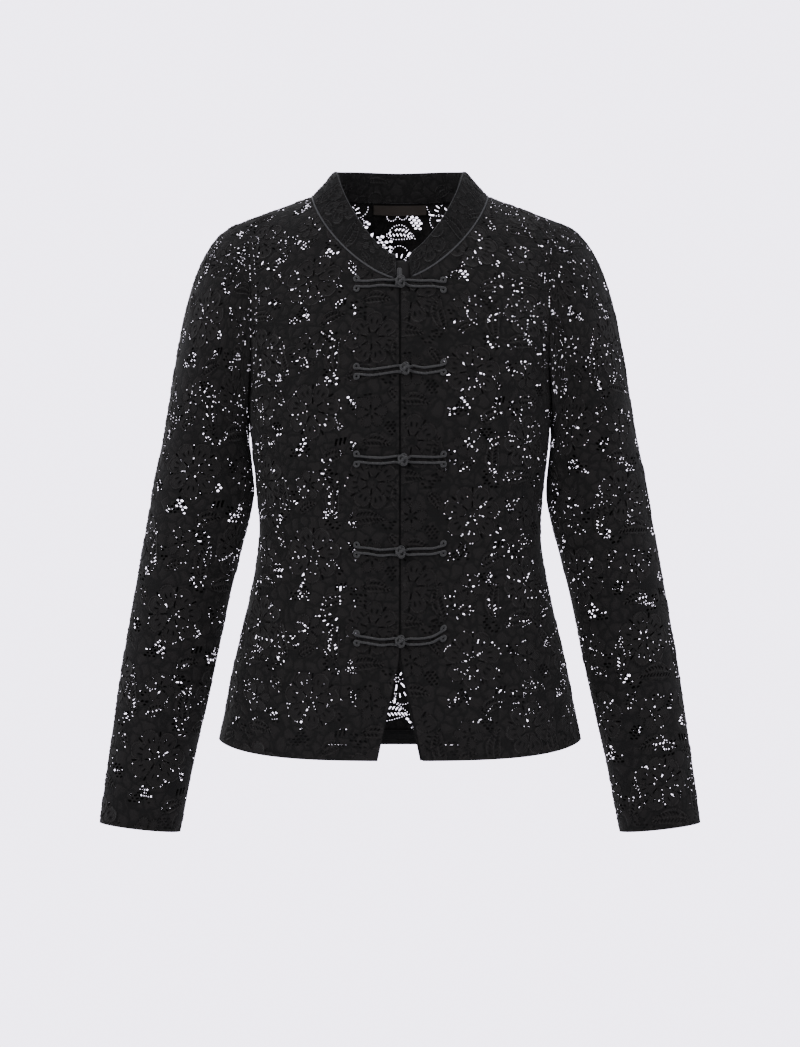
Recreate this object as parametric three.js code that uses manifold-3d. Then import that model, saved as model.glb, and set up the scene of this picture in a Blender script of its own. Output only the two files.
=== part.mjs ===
// Mandarin collar shirt in black corded lace, worn shape with nobody in it.
// Millimetres, +Z up, the front faces -Y and the wearer's left is at +X.
// The origin lies in the middle of the neck opening, at the base of the wearer's neck.

import * as THREE from 'three';
import { mergeVertices } from 'three/addons/utils/BufferGeometryUtils.js';
import Module from 'manifold-3d';

const wasm = await Module();
wasm.setup();

const FRONT = -1;
const BACK = 1;
const RIGHT = -1;
const LEFT = 1;
const QUARTER = Math.PI / 2;

// Cloth thicknesses and the space left along each seam.
const LACE = 1.2;
const HEM_CLOTH = 2.2;
const COLLAR_CLOTH = 2;
const FACING_CLOTH = 1;
const LABEL_CLOTH = 1;
const SEAM_GAP = 0.3;
const COLLAR_GAP = 0.6;
const SEAM_STEP = 1.5;

// Torso: levels of the hem and the underarm, and the girth between them.
const HEM_Z = -560;
const HEM_SIDE_RISE = 15;
const HEM_TURN = 16;
const UNDERARM_Z = -190;
const GIRTH = [
  { z: -560, half: 190, front: 101, back: 91 },
  { z: -526, half: 183, front: 99, back: 89 },
  { z: -484, half: 175.4, front: 96, back: 85 },
  { z: -442, half: 166, front: 92, back: 80 },
  { z: -400, half: 156.5, front: 89, back: 76 },
  { z: -350, half: 148.5, front: 88, back: 74 },
  { z: -316, half: 148, front: 90, back: 76 },
  { z: -245, half: 155, front: 99, back: 86 },
  { z: -190, half: 160, front: 102, back: 92 },
];
const SIDE_FULLNESS = 0.046;
const FRONT_ARCH = 0;
const BACK_ARCH = 0.083;

// Shoulders: the ridge line that carries the shoulder seam.
const RIDGE_TOP = 57.8;
const RIDGE_SLOPE = 0.37;
const RIDGE_SOFT = 20;
const SHOULDER_HALF = 184;
const CHEST_BLEND = 0.3;

// Neckline, front opening and its slit.
const NECK_HALF = 92;
const NECK_BACK_Z = 23;
const NECK_DROP = 96;
const NECK_POWER = 2 / 1.5;
const OPENING_HALF = 0.8;
const SLIT_TOP_Z = -456;
const SLIT_HALF = 22;

// Armhole edge, from the shoulder point (share 0) to the underarm (share 1), seen from the front.
const ARMHOLE = [
  { share: 0, x: 172 },
  { share: 0.15, x: 164.5 },
  { share: 0.35, x: 157.5 },
  { share: 0.6, x: 154 },
  { share: 0.8, x: 153.5 },
  { share: 0.93, x: 156 },
  { share: 1, x: 160 },
];

// Sleeve tube from the cuff to below the underarm: its centre, half width, half depth and tilt.
const SLEEVE = [
  { z: -636, x: 271, y: -18, wide: 42.5, deep: 27, tilt: 0.115 },
  { z: -568, x: 260, y: -16, wide: 44.2, deep: 31, tilt: 0.15 },
  { z: -526, x: 252.5, y: -14, wide: 45.8, deep: 34, tilt: 0.17 },
  { z: -484, x: 244.8, y: -12, wide: 47.6, deep: 37, tilt: 0.18 },
  { z: -442, x: 237, y: -10, wide: 48.5, deep: 39.5, tilt: 0.19 },
  { z: -400, x: 229, y: -8, wide: 49.3, deep: 42, tilt: 0.2 },
  { z: -358, x: 220.5, y: -6, wide: 50.5, deep: 43.5, tilt: 0.2 },
  { z: -316, x: 211.5, y: -4, wide: 52, deep: 45, tilt: 0.17 },
  { z: -285, x: 206, y: -3, wide: 53, deep: 46.5, tilt: 0.1 },
  { z: -240, x: 203.8, y: -1, wide: 46.4, deep: 52, tilt: 0 },
];
const CAP_OUT = 0.75;
const CAP_TOP_LEAN = [0.93, -0.37];
const CAP_FRONT_LEAN = 0.35;
const CAP_DOWN_LEAN = [0.2, -0.98];
const SLEEVE_CLEAR = 0.6;
const CUFF_TURN = 17;
// Soft creases across the sleeve head and the elbow: height along the sleeve, how deep, how long.
const SLEEVE_FOLDS = [
  { at: 1.18, deep: 1.6, long: 0.07, turn: 1.9 },
  { at: 1.32, deep: 1.3, long: 0.06, turn: 1.7 },
  { at: 0.62, deep: 1.2, long: 0.05, turn: 2.4 },
  { at: 0.52, deep: 1, long: 0.05, turn: 2.2 },
];

// Standing collar: how far it leans in and stands up, by the turn round the neck from the front.
const COLLAR = [
  { turn: 0, inward: 15, up: 25 },
  { turn: 50, inward: 24, up: 27 },
  { turn: 90, inward: 25, up: 25 },
  { turn: 135, inward: 14, up: 29 },
  { turn: 180, inward: 5, up: 30 },
];
const NECK_AXIS_Y = -15;
const COLLAR_RIGHT_END = 4.2;
const COLLAR_LEFT_END = 9.5;
const UNDERLAP = { x: 2.5, wide: 17, high: 27, thick: 1.2, behind: 2.8, drop: -1 };

// Closures: height and middle of each knot, and how far the outer ends lie above it.
const FROGS = [
  { z: -76.6, knot: 0.5, rightEnd: -0.6, leftEnd: -2, sag: 0 },
  { z: -164.1, knot: 5, rightEnd: -2.4, leftEnd: 2, sag: -2 },
  { z: -254.9, knot: 3, rightEnd: 0.3, leftEnd: 0.3, sag: -1 },
  { z: -348.8, knot: 0.5, rightEnd: 2.2, leftEnd: 3.6, sag: -0.5 },
  { z: -439.8, knot: 0.2, rightEnd: 3.5, leftEnd: 8.2, sag: -1 },
];
const CORD_RADIUS = 1.2;
const CORD_SIDES = 5;
const CORD_STEPS = 18;
const CORD_CLEAR = 0.8;
const CORD_SPREAD = 2.7;
const FROG_REACH = 45;
const KNOT = { wide: 5.7, deep: 4.3, high: 6.9, lift: 7.4 };
const STEM = { radius: 1.3, foot: 0.4, top: 5, sides: 6 };

// Lace repeat and its largest gaps, in millimetres of flat cloth.
const REPEAT = { wide: 124, high: 148 };
const LARGE_GAPS = [
  { u: 59, v: 7, long: 8, wide: 2.6, turn: 80 },
  { u: 63.5, v: 8, long: 8.5, wide: 2.6, turn: 80 },
  { u: 68, v: 9, long: 8, wide: 2.6, turn: 80 },
  { u: 119, v: 80, long: 7.5, wide: 3, turn: 20 },
];
const GAP_MARGIN = 10;
// Edges shorter than this, left where a gap crosses a line of the grid, are drawn together.
const LEAST_EDGE = 0.06;

// Number of grid steps along and across the pieces.
const NECK_STEPS = 5;
const SHOULDER_STEPS = 2;
const ARM_STEPS = 9;
const PANEL_ROWS = 14;
const SLIT_ROW = 4;
const TUBE_ROWS = 10;
const CAP_ROWS = 6;
const COLLAR_ROWS = 3;
const ARC_STEPS = 16;
const FACING_COLUMNS = 2;
const FACING_DROP = 0.06;
const LABEL_ROWS = [-0.33, -0.06];
const LABEL_COLUMNS = [-1, 0, 1];

const laceBlack = new THREE.MeshStandardMaterial({ color: 0x1d1c1e, roughness: 0.85, metalness: 0 });
const satinBlack = new THREE.MeshStandardMaterial({ color: 0x2a292c, roughness: 0.45, metalness: 0 });
const labelBlack = new THREE.MeshStandardMaterial({ color: 0x231d1a, roughness: 0.5, metalness: 0 });

const group = new THREE.Group();

function vec(x, y, z) {
  return new THREE.Vector3(x, y, z);
}

function mix(from, to, share) {
  return from + (to - from) * share;
}

function smooth(share) {
  const t = Math.min(1, Math.max(0, share));
  return t * t * (3 - 2 * t);
}

// Smooth curve through one column of a table whose key column rises.
function along(table, key, value, column) {
  const last = table.length - 1;
  let i = 0;
  while (i < last - 1 && value > table[i + 1][key]) {
    i += 1;
  }
  const slope = (k) => {
    const before = table[Math.max(0, k - 1)];
    const after = table[Math.min(last, k + 1)];
    return (after[column] - before[column]) / (after[key] - before[key]);
  };
  const a = table[i];
  const b = table[i + 1];
  const span = b[key] - a[key];
  const t = Math.min(1, Math.max(0, (value - a[key]) / span));
  const t2 = t * t;
  const t3 = t2 * t;
  return a[column] * (2 * t3 - 3 * t2 + 1) + slope(i) * span * (t3 - 2 * t2 + t)
    + b[column] * (3 * t2 - 2 * t3) + slope(i + 1) * span * (t3 - t2);
}

function ridge(x) {
  return RIDGE_TOP - RIDGE_SLOPE * Math.hypot(x, RIDGE_SOFT);
}

function torsoHalf(v) {
  if (v <= 1) {
    return along(GIRTH, 'z', mix(HEM_Z, UNDERARM_Z, v), 'half');
  }
  const wide = mix(GIRTH.at(-1).half, SHOULDER_HALF - 8, smooth((v - 1) / CHEST_BLEND));
  return wide + 8 * (v - 1) ** 2;
}

// Torso surface: a turns from the middle (0) to the side (a quarter turn),
// v runs from the hem (0) through the underarm level (1) to the shoulder ridge (2).
function torso(a, v, face) {
  const level = Math.min(v, 1);
  const hem = HEM_Z + HEM_SIDE_RISE * Math.sin(a) ** 4;
  const rise = Math.max(0, v - 1) * QUARTER;
  const round = 1 + SIDE_FULLNESS * Math.sin(2 * a) ** 2;
  const arch = 1 + (face === FRONT ? FRONT_ARCH : BACK_ARCH) * Math.sin(2 * rise) ** 2;
  const z = mix(HEM_Z, UNDERARM_Z, level);
  const depth = along(GIRTH, 'z', z, face === FRONT ? 'front' : 'back');
  const x = torsoHalf(v) * Math.sin(a) * round;
  const y = face * depth * Math.cos(a) * round * Math.cos(rise) * arch;
  const low = mix(hem, UNDERARM_Z, level);
  return vec(x, y, low + (ridge(x) - UNDERARM_Z) * Math.sin(rise) * arch);
}

function torsoNormal(a, v, face) {
  const step = 0.002;
  const across = torso(a + step, v, face).sub(torso(a - step, v, face));
  const upward = torso(a, v + step, face).sub(torso(a, v - step, face));
  const normal = across.cross(upward).normalize();
  const p = torso(a, v, face);
  const outward = vec(p.x, p.y, Math.max(0, p.z - UNDERARM_Z));
  return normal.dot(outward) < 0 ? normal.negate() : normal;
}

// Place (a, v) on the torso of a point seen from the front or the back at x, z.
function torsoPlace(x, z, face) {
  let a = Math.asin(Math.min(0.99, x / SHOULDER_HALF));
  let v = z < UNDERARM_Z ? (z - HEM_Z) / (UNDERARM_Z - HEM_Z) : 1 + (z - UNDERARM_Z) / 260;
  const step = 1e-4;
  for (let k = 0; k < 40; k += 1) {
    const p = torso(a, v, face);
    const pa = torso(a + step, v, face).sub(p).divideScalar(step);
    const pv = torso(a, v + step, face).sub(p).divideScalar(step);
    const det = pa.x * pv.z - pv.x * pa.z;
    const dx = x - p.x;
    const dz = z - p.z;
    a += 0.7 * (dx * pv.z - pv.x * dz) / det;
    v = Math.min(2, v + 0.7 * (pa.x * dz - dx * pa.z) / det);
  }
  return { a, v };
}

function angleForWidth(x, v) {
  let low = 0;
  let high = QUARTER;
  for (let k = 0; k < 40; k += 1) {
    const middle = (low + high) / 2;
    if (torso(middle, v, FRONT).x < x) {
      low = middle;
    } else {
      high = middle;
    }
  }
  return (low + high) / 2;
}

function armholePlace(share) {
  const v = 2 - share;
  return { a: share === 1 ? QUARTER : angleForWidth(along(ARMHOLE, 'share', share, 'x'), v), v };
}

function necklinePlace(share, face) {
  const turn = share * QUARTER;
  if (share === 1) {
    return { a: angleForWidth(NECK_HALF, 2), v: 2 };
  }
  const x = NECK_HALF * Math.sin(turn) ** NECK_POWER;
  if (face === FRONT) {
    return torsoPlace(x, NECK_BACK_Z - NECK_DROP * Math.cos(turn) ** NECK_POWER, FRONT);
  }
  return torsoPlace(NECK_HALF * Math.sin(turn), NECK_BACK_Z, BACK);
}

// Upper edge of a panel at each column: neckline, shoulder seam, armhole.
function panelTop(column, face) {
  if (column <= NECK_STEPS) {
    return necklinePlace(column / NECK_STEPS, face);
  }
  if (column <= NECK_STEPS + SHOULDER_STEPS) {
    const share = (column - NECK_STEPS) / SHOULDER_STEPS;
    return { a: angleForWidth(mix(NECK_HALF, ARMHOLE[0].x, share), 2), v: 2 };
  }
  return armholePlace((column - NECK_STEPS - SHOULDER_STEPS) / ARM_STEPS);
}

const PANEL_COLUMNS = NECK_STEPS + SHOULDER_STEPS + ARM_STEPS;

// Rows of a panel column: the turned hem first, two steps to the top of the slit, then steps up to
// the top edge, which start equally high in every column and close up where the column is short.
function panelRow(row, top) {
  const length = UNDERARM_Z - HEM_Z;
  if (row === 0) {
    return 0;
  }
  if (row <= 2) {
    return (HEM_TURN + (row - 1) * SEAM_STEP) / length;
  }
  const start = (HEM_TURN + SEAM_STEP) / length;
  const slit = (SLIT_TOP_Z - HEM_Z) / length;
  if (row <= SLIT_ROW) {
    return mix(start, slit, (row - 2) / (SLIT_ROW - 2));
  }
  const share = (row - SLIT_ROW) / (PANEL_ROWS - SLIT_ROW);
  return mix(slit, top, 1 - (1 - share) ** ((2 - slit) / (top - slit)));
}

function slitAngle(v) {
  const z = mix(HEM_Z, UNDERARM_Z, Math.min(v, 1));
  const open = SLIT_HALF * Math.max(0, (SLIT_TOP_Z - z) / (SLIT_TOP_Z - HEM_Z));
  return Math.asin((OPENING_HALF + open) / torsoHalf(v));
}

// One half of a torso panel as a grid of cells: place, outer point and outward normal.
function halfPanel(face, side) {
  const rows = [];
  for (let i = 0; i <= PANEL_ROWS; i += 1) {
    const row = [];
    for (let j = 0; j <= PANEL_COLUMNS; j += 1) {
      const top = panelTop(j, face);
      const v = panelRow(i, top.v);
      let a = mix((j / PANEL_COLUMNS) * QUARTER, top.a, v / top.v);
      if (face === FRONT) {
        const edge = slitAngle(v);
        a = edge + a * (1 - edge / QUARTER);
      }
      row.push(torsoCell(a, v, face, side, i <= 1 ? HEM_CLOTH : LACE));
    }
    rows.push(row);
  }
  return rows;
}

function torsoCell(a, v, face, side, thick) {
  const flip = vec(side, 1, 1);
  const point = torso(a, v, face).multiply(flip);
  const normal = torsoNormal(a, v, face).multiply(flip);
  return { point, normal, thick, flat: torsoFlat(a, v, face, side) };
}

// Flat cloth coordinates of the torso: x round from the middle, y up from the hem.
function torsoFlat(a, v, face, side) {
  return { x: side * arcLength((t) => torso(t * a, v, face)), y: torsoHeight(v, face) };
}

function arcLength(curve) {
  let length = 0;
  let last = curve(0);
  for (let k = 1; k <= ARC_STEPS; k += 1) {
    const next = curve(k / ARC_STEPS);
    length += next.distanceTo(last);
    last = next;
  }
  return length;
}

function torsoHeight(v, face) {
  return arcLength((t) => torso(0, t * v, face));
}

function solve(measure, wanted, high) {
  let low = 0;
  let top = high;
  for (let k = 0; k < 30; k += 1) {
    const middle = (low + top) / 2;
    if (measure(middle) < wanted) {
      low = middle;
    } else {
      top = middle;
    }
  }
  return (low + top) / 2;
}

function torsoFromFlat(x, y, face) {
  const v = solve((t) => torsoHeight(t, face), y, 2);
  const a = solve((t) => arcLength((s) => torso(s * t, v, face)), Math.abs(x), QUARTER);
  const flip = vec(Math.sign(x) || 1, 1, 1);
  return { point: torso(a, v, face).multiply(flip), normal: torsoNormal(a, v, face).multiply(flip) };
}

function armholeEdge(turn) {
  const round = (turn + 2 * Math.PI) % (2 * Math.PI);
  const face = round <= Math.PI ? FRONT : BACK;
  const place = armholePlace(face === FRONT ? round / Math.PI : 2 - round / Math.PI);
  return torso(place.a, place.v, face);
}

// Sleeve surface: turn runs from the outer line (0) over the front to the underarm line (a half
// turn) and back, t from the cuff (0) to the cap start (1) and on to the armhole (2).
function sleeve(turn, t) {
  if (t <= 1) {
    return sleeveTube(turn, t);
  }
  const share = t - 1;
  const from = sleeveTube(turn, 1);
  const to = armholeEdge(turn).add(vec(SLEEVE_CLEAR * (1 - Math.cos(turn)) / 2, 0, 0));
  const under = (1 - Math.cos(turn)) / 2;
  const reach = from.distanceTo(to);
  const leave = vec(
    mix(CAP_TOP_LEAN[0], 0, under),
    -CAP_FRONT_LEAN * Math.sin(turn),
    mix(CAP_TOP_LEAN[1], -1, under),
  ).normalize().multiplyScalar(reach * CAP_OUT);
  const arrive = vec(mix(CAP_DOWN_LEAN[0], -0.1, under), 0, CAP_DOWN_LEAN[1]);
  arrive.normalize().multiplyScalar(reach);
  const k = 1 - share;
  const k2 = k * k;
  const k3 = k2 * k;
  const point = to.clone().multiplyScalar(2 * k3 - 3 * k2 + 1);
  point.addScaledVector(leave, k3 - 2 * k2 + k);
  point.addScaledVector(from, 3 * k2 - 2 * k3);
  point.addScaledVector(arrive, k3 - k2);
  return point.addScaledVector(sleeveOut(turn), -foldDepth(turn, t));
}

function sleeveOut(turn) {
  return vec(Math.cos(turn), -Math.sin(turn), 0);
}

function foldDepth(turn, t) {
  let depth = 0;
  for (const fold of SLEEVE_FOLDS) {
    const away = Math.atan2(Math.sin(turn - fold.turn), Math.cos(turn - fold.turn));
    depth += fold.deep * Math.exp(-(((t - fold.at - 0.03 * away) / fold.long) ** 2) - (away / 0.8) ** 2);
  }
  return depth;
}

function sleeveTube(turn, t) {
  const z = mix(SLEEVE[0].z, SLEEVE.at(-1).z, t);
  const at = (column) => along(SLEEVE, 'z', z, column);
  const tilt = Math.atan(at('tilt'));
  const across = at('wide') * Math.cos(turn);
  const point = vec(
    at('x') + across * Math.cos(tilt),
    at('y') - at('deep') * Math.sin(turn),
    z + across * Math.sin(tilt),
  );
  return point.addScaledVector(sleeveOut(turn), -foldDepth(turn, t));
}

function sleeveNormal(turn, t) {
  const step = 0.002;
  const around = sleeve(turn + step, t).sub(sleeve(turn - step, t));
  const high = Math.min(2, t + step);
  const upward = sleeve(turn, high).sub(sleeve(turn, Math.max(0, t - step)));
  const normal = around.cross(upward).normalize();
  const middle = sleeve(0, t).add(sleeve(Math.PI, t)).multiplyScalar(0.5);
  return normal.dot(sleeve(turn, t).sub(middle)) < 0 ? normal.negate() : normal;
}

// At the top of the armhole both cloths end on the direction halfway between their normals.
function armholeNormal(turn, own) {
  const share = turn <= Math.PI ? turn / Math.PI : 2 - turn / Math.PI;
  const place = armholePlace(share);
  const body = torsoNormal(place.a, place.v, turn <= Math.PI ? FRONT : BACK);
  const arm = sleeveNormal(turn, 2);
  const joined = body.clone().add(arm).normalize();
  const weight = smooth((body.dot(arm) + 0.2) / 0.9);
  return own === 'body' ? body.lerp(joined, weight).normalize() : arm.lerp(joined, weight).normalize();
}

function capLength(turn) {
  return sleeve(turn, 1).distanceTo(sleeve(turn, 2));
}

function capSpread(t) {
  const loop = (level) => arcLength((s) => sleeve(s * Math.PI, level));
  return mix(1, loop(2) / loop(1), Math.max(0, t - 1));
}

const TUBE_LENGTH = arcLength((t) => sleeve(0, t));

// Flat cloth coordinates of a sleeve: x round from the outer line, y up from the cuff.
function sleeveFlat(turn, t) {
  const level = Math.min(t, 1);
  const x = arcLength((s) => sleeve(s * turn, level)) * capSpread(t);
  const y = t <= 1 ? TUBE_LENGTH * t : TUBE_LENGTH + (t - 1) * capLength(turn);
  return { x, y };
}

function sleeveFromFlat(x, y) {
  let t = Math.min(1, y / TUBE_LENGTH);
  let turn = 0;
  const rounds = y <= TUBE_LENGTH ? 1 : 8;
  for (let k = 0; k < rounds; k += 1) {
    const wanted = Math.abs(x) / capSpread(t);
    const level = Math.min(t, 1);
    turn = solve((s) => arcLength((q) => sleeve(q * s, level)), wanted, Math.PI);
    t = y <= TUBE_LENGTH ? t : Math.min(2, 1 + (y - TUBE_LENGTH) / capLength(turn));
  }
  return { turn, t };
}

function halfSleeve(face, side) {
  const flip = vec(side, 1, 1);
  const rows = [];
  for (let i = 0; i <= TUBE_ROWS + CAP_ROWS; i += 1) {
    const t = sleeveRow(i);
    const row = [];
    for (let j = 0; j <= ARM_STEPS; j += 1) {
      const half = (j / ARM_STEPS) * Math.PI;
      const turn = face === FRONT ? half : 2 * Math.PI - half;
      const normal = t === 2 ? armholeNormal(turn, 'arm') : sleeveNormal(turn, t);
      row.push({
        point: sleeve(turn, t).multiply(flip),
        normal: normal.multiply(flip),
        thick: i <= 1 ? HEM_CLOTH : LACE,
        flat: sleeveFlat(half, t),
      });
    }
    rows.push(row);
  }
  return rows;
}

function sleeveRow(row) {
  const turn = CUFF_TURN / TUBE_LENGTH;
  const step = SEAM_STEP / TUBE_LENGTH;
  if (row <= 2) {
    return [0, turn, turn + step][row];
  }
  if (row <= TUBE_ROWS) {
    return mix(turn + step, 1, (row - 2) / (TUBE_ROWS - 2));
  }
  return 1 + (row - TUBE_ROWS) / CAP_ROWS;
}

// Draws the edge cells of a grid half a seam gap in, towards their neighbours inside.
function trimSeams(grid, edges) {
  const rows = grid.length - 1;
  const columns = grid[0].length - 1;
  const pull = (cell, inner) => {
    const way = inner.clone().sub(cell.point).normalize();
    cell.point = cell.point.clone().addScaledVector(way, SEAM_GAP / 2);
  };
  const copy = grid.map((row) => row.map((cell) => cell.point.clone()));
  for (let i = 0; i <= rows; i += 1) {
    if (edges.includes('start')) {
      pull(grid[i][0], copy[i][1]);
    }
    if (edges.includes('end')) {
      pull(grid[i][columns], copy[i][columns - 1]);
    }
  }
  for (let j = 0; j <= columns; j += 1) {
    if (edges.includes('top')) {
      pull(grid[rows][j], copy[rows - 1][j]);
    }
  }
  return grid;
}

// Closed wall on a grid of cells: outer points, inner points moved in by the cloth, and the edges.
// Cells before the turned column are split along their other diagonal, so both sides match.
function wall(grid, lift = 0, turned = 0) {
  const rows = grid.length;
  const columns = grid[0].length;
  const points = [];
  for (const layer of [0, 1]) {
    for (const row of grid) {
      for (const cell of row) {
        const depth = lift + layer * cell.thick;
        points.push(...cell.point.clone().addScaledVector(cell.normal, -depth).toArray());
      }
    }
  }
  const at = (i, j, layer) => layer * rows * columns + i * columns + j;
  const faces = [];
  const quad = (a, b, c, d, other = false) => {
    faces.push(...(other ? [b, c, d, b, d, a] : [a, b, c, a, c, d]));
  };
  for (let i = 0; i + 1 < rows; i += 1) {
    for (let j = 0; j + 1 < columns; j += 1) {
      quad(at(i, j, 0), at(i, j + 1, 0), at(i + 1, j + 1, 0), at(i + 1, j, 0), j < turned);
      quad(at(i, j, 1), at(i + 1, j, 1), at(i + 1, j + 1, 1), at(i, j + 1, 1), j < turned);
    }
    quad(at(i, 0, 0), at(i + 1, 0, 0), at(i + 1, 0, 1), at(i, 0, 1));
    quad(at(i, columns - 1, 0), at(i, columns - 1, 1), at(i + 1, columns - 1, 1), at(i + 1, columns - 1, 0));
  }
  for (let j = 0; j + 1 < columns; j += 1) {
    const last = rows - 1;
    quad(at(0, j, 0), at(0, j, 1), at(0, j + 1, 1), at(0, j + 1, 0), j < turned);
    quad(at(last, j, 0), at(last, j + 1, 0), at(last, j + 1, 1), at(last, j, 1), j < turned);
  }
  const geometry = new THREE.BufferGeometry();
  geometry.setAttribute('position', new THREE.Float32BufferAttribute(points, 3));
  geometry.setIndex(faces);
  if (signedVolume(geometry) < 0) {
    faces.reverse();
    geometry.setIndex(faces);
  }
  return geometry;
}

function signedVolume(geometry) {
  const position = geometry.getAttribute('position');
  const index = geometry.getIndex();
  const corner = (k) => new THREE.Vector3().fromBufferAttribute(position, index.getX(k));
  let volume = 0;
  for (let k = 0; k < index.count; k += 3) {
    volume += corner(k).dot(corner(k + 1).cross(corner(k + 2)));
  }
  return volume;
}

function toSolid(geometry) {
  const bare = geometry.clone();
  bare.deleteAttribute('normal');
  bare.deleteAttribute('uv');
  const merged = mergeVertices(bare, 1e-4);
  return new wasm.Manifold(new wasm.Mesh({
    numProp: 3,
    vertProperties: Float32Array.from(merged.getAttribute('position').array),
    triVerts: Uint32Array.from(merged.getIndex().array),
  }));
}

function fromSolid(solid) {
  const mesh = solid.getMesh();
  const geometry = new THREE.BufferGeometry();
  geometry.setAttribute('position', new THREE.Float32BufferAttribute(mesh.vertProperties, 3));
  geometry.setIndex(Array.from(mesh.triVerts));
  return geometry;
}

function add(name, geometry, material) {
  geometry.computeVertexNormals();
  const mesh = new THREE.Mesh(geometry, material);
  mesh.name = name;
  group.add(mesh);
}

// Flat outline of a grid, and how far inside it a flat point lies (negative outside).
function outline(grid) {
  const flats = grid.map((row) => row.map((cell) => cell.flat));
  const lastRow = flats.length - 1;
  const lastColumn = flats[0].length - 1;
  return [
    ...flats[0],
    ...flats.slice(1).map((row) => row[lastColumn]),
    ...flats[lastRow].slice(0, lastColumn).reverse(),
    ...flats.slice(1, lastRow).map((row) => row[0]).reverse(),
  ];
}

function insideBy(loop, x, y) {
  let inside = false;
  let nearest = Infinity;
  loop.forEach((p, k) => {
    const q = loop[(k + 1) % loop.length];
    if ((p.y > y) !== (q.y > y) && x < mix(p.x, q.x, (y - p.y) / (q.y - p.y))) {
      inside = !inside;
    }
    const span = (q.x - p.x) ** 2 + (q.y - p.y) ** 2 || 1;
    const share = Math.min(1, Math.max(0, ((x - p.x) * (q.x - p.x) + (y - p.y) * (q.y - p.y)) / span));
    nearest = Math.min(nearest, Math.hypot(x - mix(p.x, q.x, share), y - mix(p.y, q.y, share)));
  });
  return inside ? nearest : -nearest;
}

// Flat places of the largest lace gaps that lie well inside a flat outline.
function gapPlaces(loop, shift) {
  const places = [];
  const xs = loop.map((p) => p.x);
  const ys = loop.map((p) => p.y);
  const first = (low, size) => Math.floor(low / size) - 1;
  for (let i = first(Math.min(...xs), REPEAT.wide); i * REPEAT.wide < Math.max(...xs) + REPEAT.wide; i += 1) {
    for (let j = first(Math.min(...ys), REPEAT.high); j * REPEAT.high < Math.max(...ys) + REPEAT.high; j += 1) {
      for (const gap of LARGE_GAPS) {
        const x = i * REPEAT.wide + gap.u + shift.x;
        const y = j * REPEAT.high + gap.v + shift.y;
        if (insideBy(loop, x, y) > GAP_MARGIN) {
          places.push({ x, y, gap });
        }
      }
    }
  }
  return places;
}

// Prism with four sides through the cloth, long along the lace bar that it stands for.
function gapPrism(place, surfaceAt) {
  const { gap } = place;
  const turn = THREE.MathUtils.degToRad(gap.turn);
  const here = surfaceAt(place.x, place.y);
  const ahead = surfaceAt(place.x + Math.cos(turn), place.y + Math.sin(turn));
  const bar = ahead.point.clone().sub(here.point);
  bar.addScaledVector(here.normal, -bar.dot(here.normal)).normalize();
  const across = here.normal.clone().cross(bar);
  const shape = new THREE.Shape();
  shape.moveTo(-gap.long / 2, -gap.wide * 0.3);
  shape.lineTo(gap.long / 2, -gap.wide / 2);
  shape.lineTo(gap.long * 0.4, gap.wide / 2);
  shape.lineTo(-gap.long * 0.4, gap.wide / 2);
  const depth = 4 * LACE;
  const prism = new THREE.ExtrudeGeometry(shape, { depth, bevelEnabled: false, steps: 1 });
  const start = here.point.clone().addScaledVector(here.normal, -depth * 0.6);
  prism.applyMatrix4(new THREE.Matrix4().makeBasis(bar, across, here.normal).setPosition(start));
  return toSolid(prism);
}

function cutLace(grid, shift, surfaceAt, turned = 0) {
  const solid = toSolid(wall(grid, 0, turned));
  const prisms = gapPlaces(outline(grid), shift).map((place) => gapPrism(place, surfaceAt));
  const cut = prisms.length ? solid.subtract(wasm.Manifold.union(prisms)) : solid;
  return fromSolid(cut.simplify(LEAST_EDGE));
}

// Point and normal on the flat facets of a grid at fractional row and column.
function onGrid(grid, row, column, thick) {
  const i = Math.min(grid.length - 2, Math.floor(row));
  const j = Math.min(grid[0].length - 2, Math.floor(column));
  const up = row - i;
  const over = column - j;
  const share = (key) => {
    const low = grid[i][j][key].clone().lerp(grid[i][j + 1][key], over);
    const high = grid[i + 1][j][key].clone().lerp(grid[i + 1][j + 1][key], over);
    return low.lerp(high, up);
  };
  return { point: share('point'), normal: share('normal').normalize(), thick };
}

// Torso panels.
const fronts = { [RIGHT]: halfPanel(FRONT, RIGHT), [LEFT]: halfPanel(FRONT, LEFT) };
const backHalves = { [RIGHT]: halfPanel(BACK, RIGHT), [LEFT]: halfPanel(BACK, LEFT) };

function setArmholeNormals(grid, face, side) {
  const top = grid[PANEL_ROWS];
  for (let j = NECK_STEPS + SHOULDER_STEPS; j <= PANEL_COLUMNS; j += 1) {
    const half = ((j - NECK_STEPS - SHOULDER_STEPS) / ARM_STEPS) * Math.PI;
    const turn = face === FRONT ? half : 2 * Math.PI - half;
    top[j].normal = armholeNormal(turn, 'body').multiply(vec(side, 1, 1));
  }
}

for (const side of [RIGHT, LEFT]) {
  setArmholeNormals(fronts[side], FRONT, side);
  setArmholeNormals(backHalves[side], BACK, side);
}

const back = backHalves[RIGHT].map((row, i) => [...row.slice(1).reverse(), ...backHalves[LEFT][i]]);
trimSeams(back, ['start', 'end', 'top']);
trimSeams(fronts[RIGHT], ['end', 'top']);
trimSeams(fronts[LEFT], ['end', 'top']);

const frontFromFlat = (x, y) => torsoFromFlat(x, y, FRONT);
const backFromFlat = (x, y) => torsoFromFlat(x, y, BACK);
add('front_right', cutLace(fronts[RIGHT], { x: 0, y: 20 }, frontFromFlat), laceBlack);
add('front_left', cutLace(fronts[LEFT], { x: 40, y: 62 }, frontFromFlat), laceBlack);
add('back', cutLace(back, { x: 25, y: 105 }, backFromFlat, PANEL_COLUMNS), laceBlack);

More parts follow.
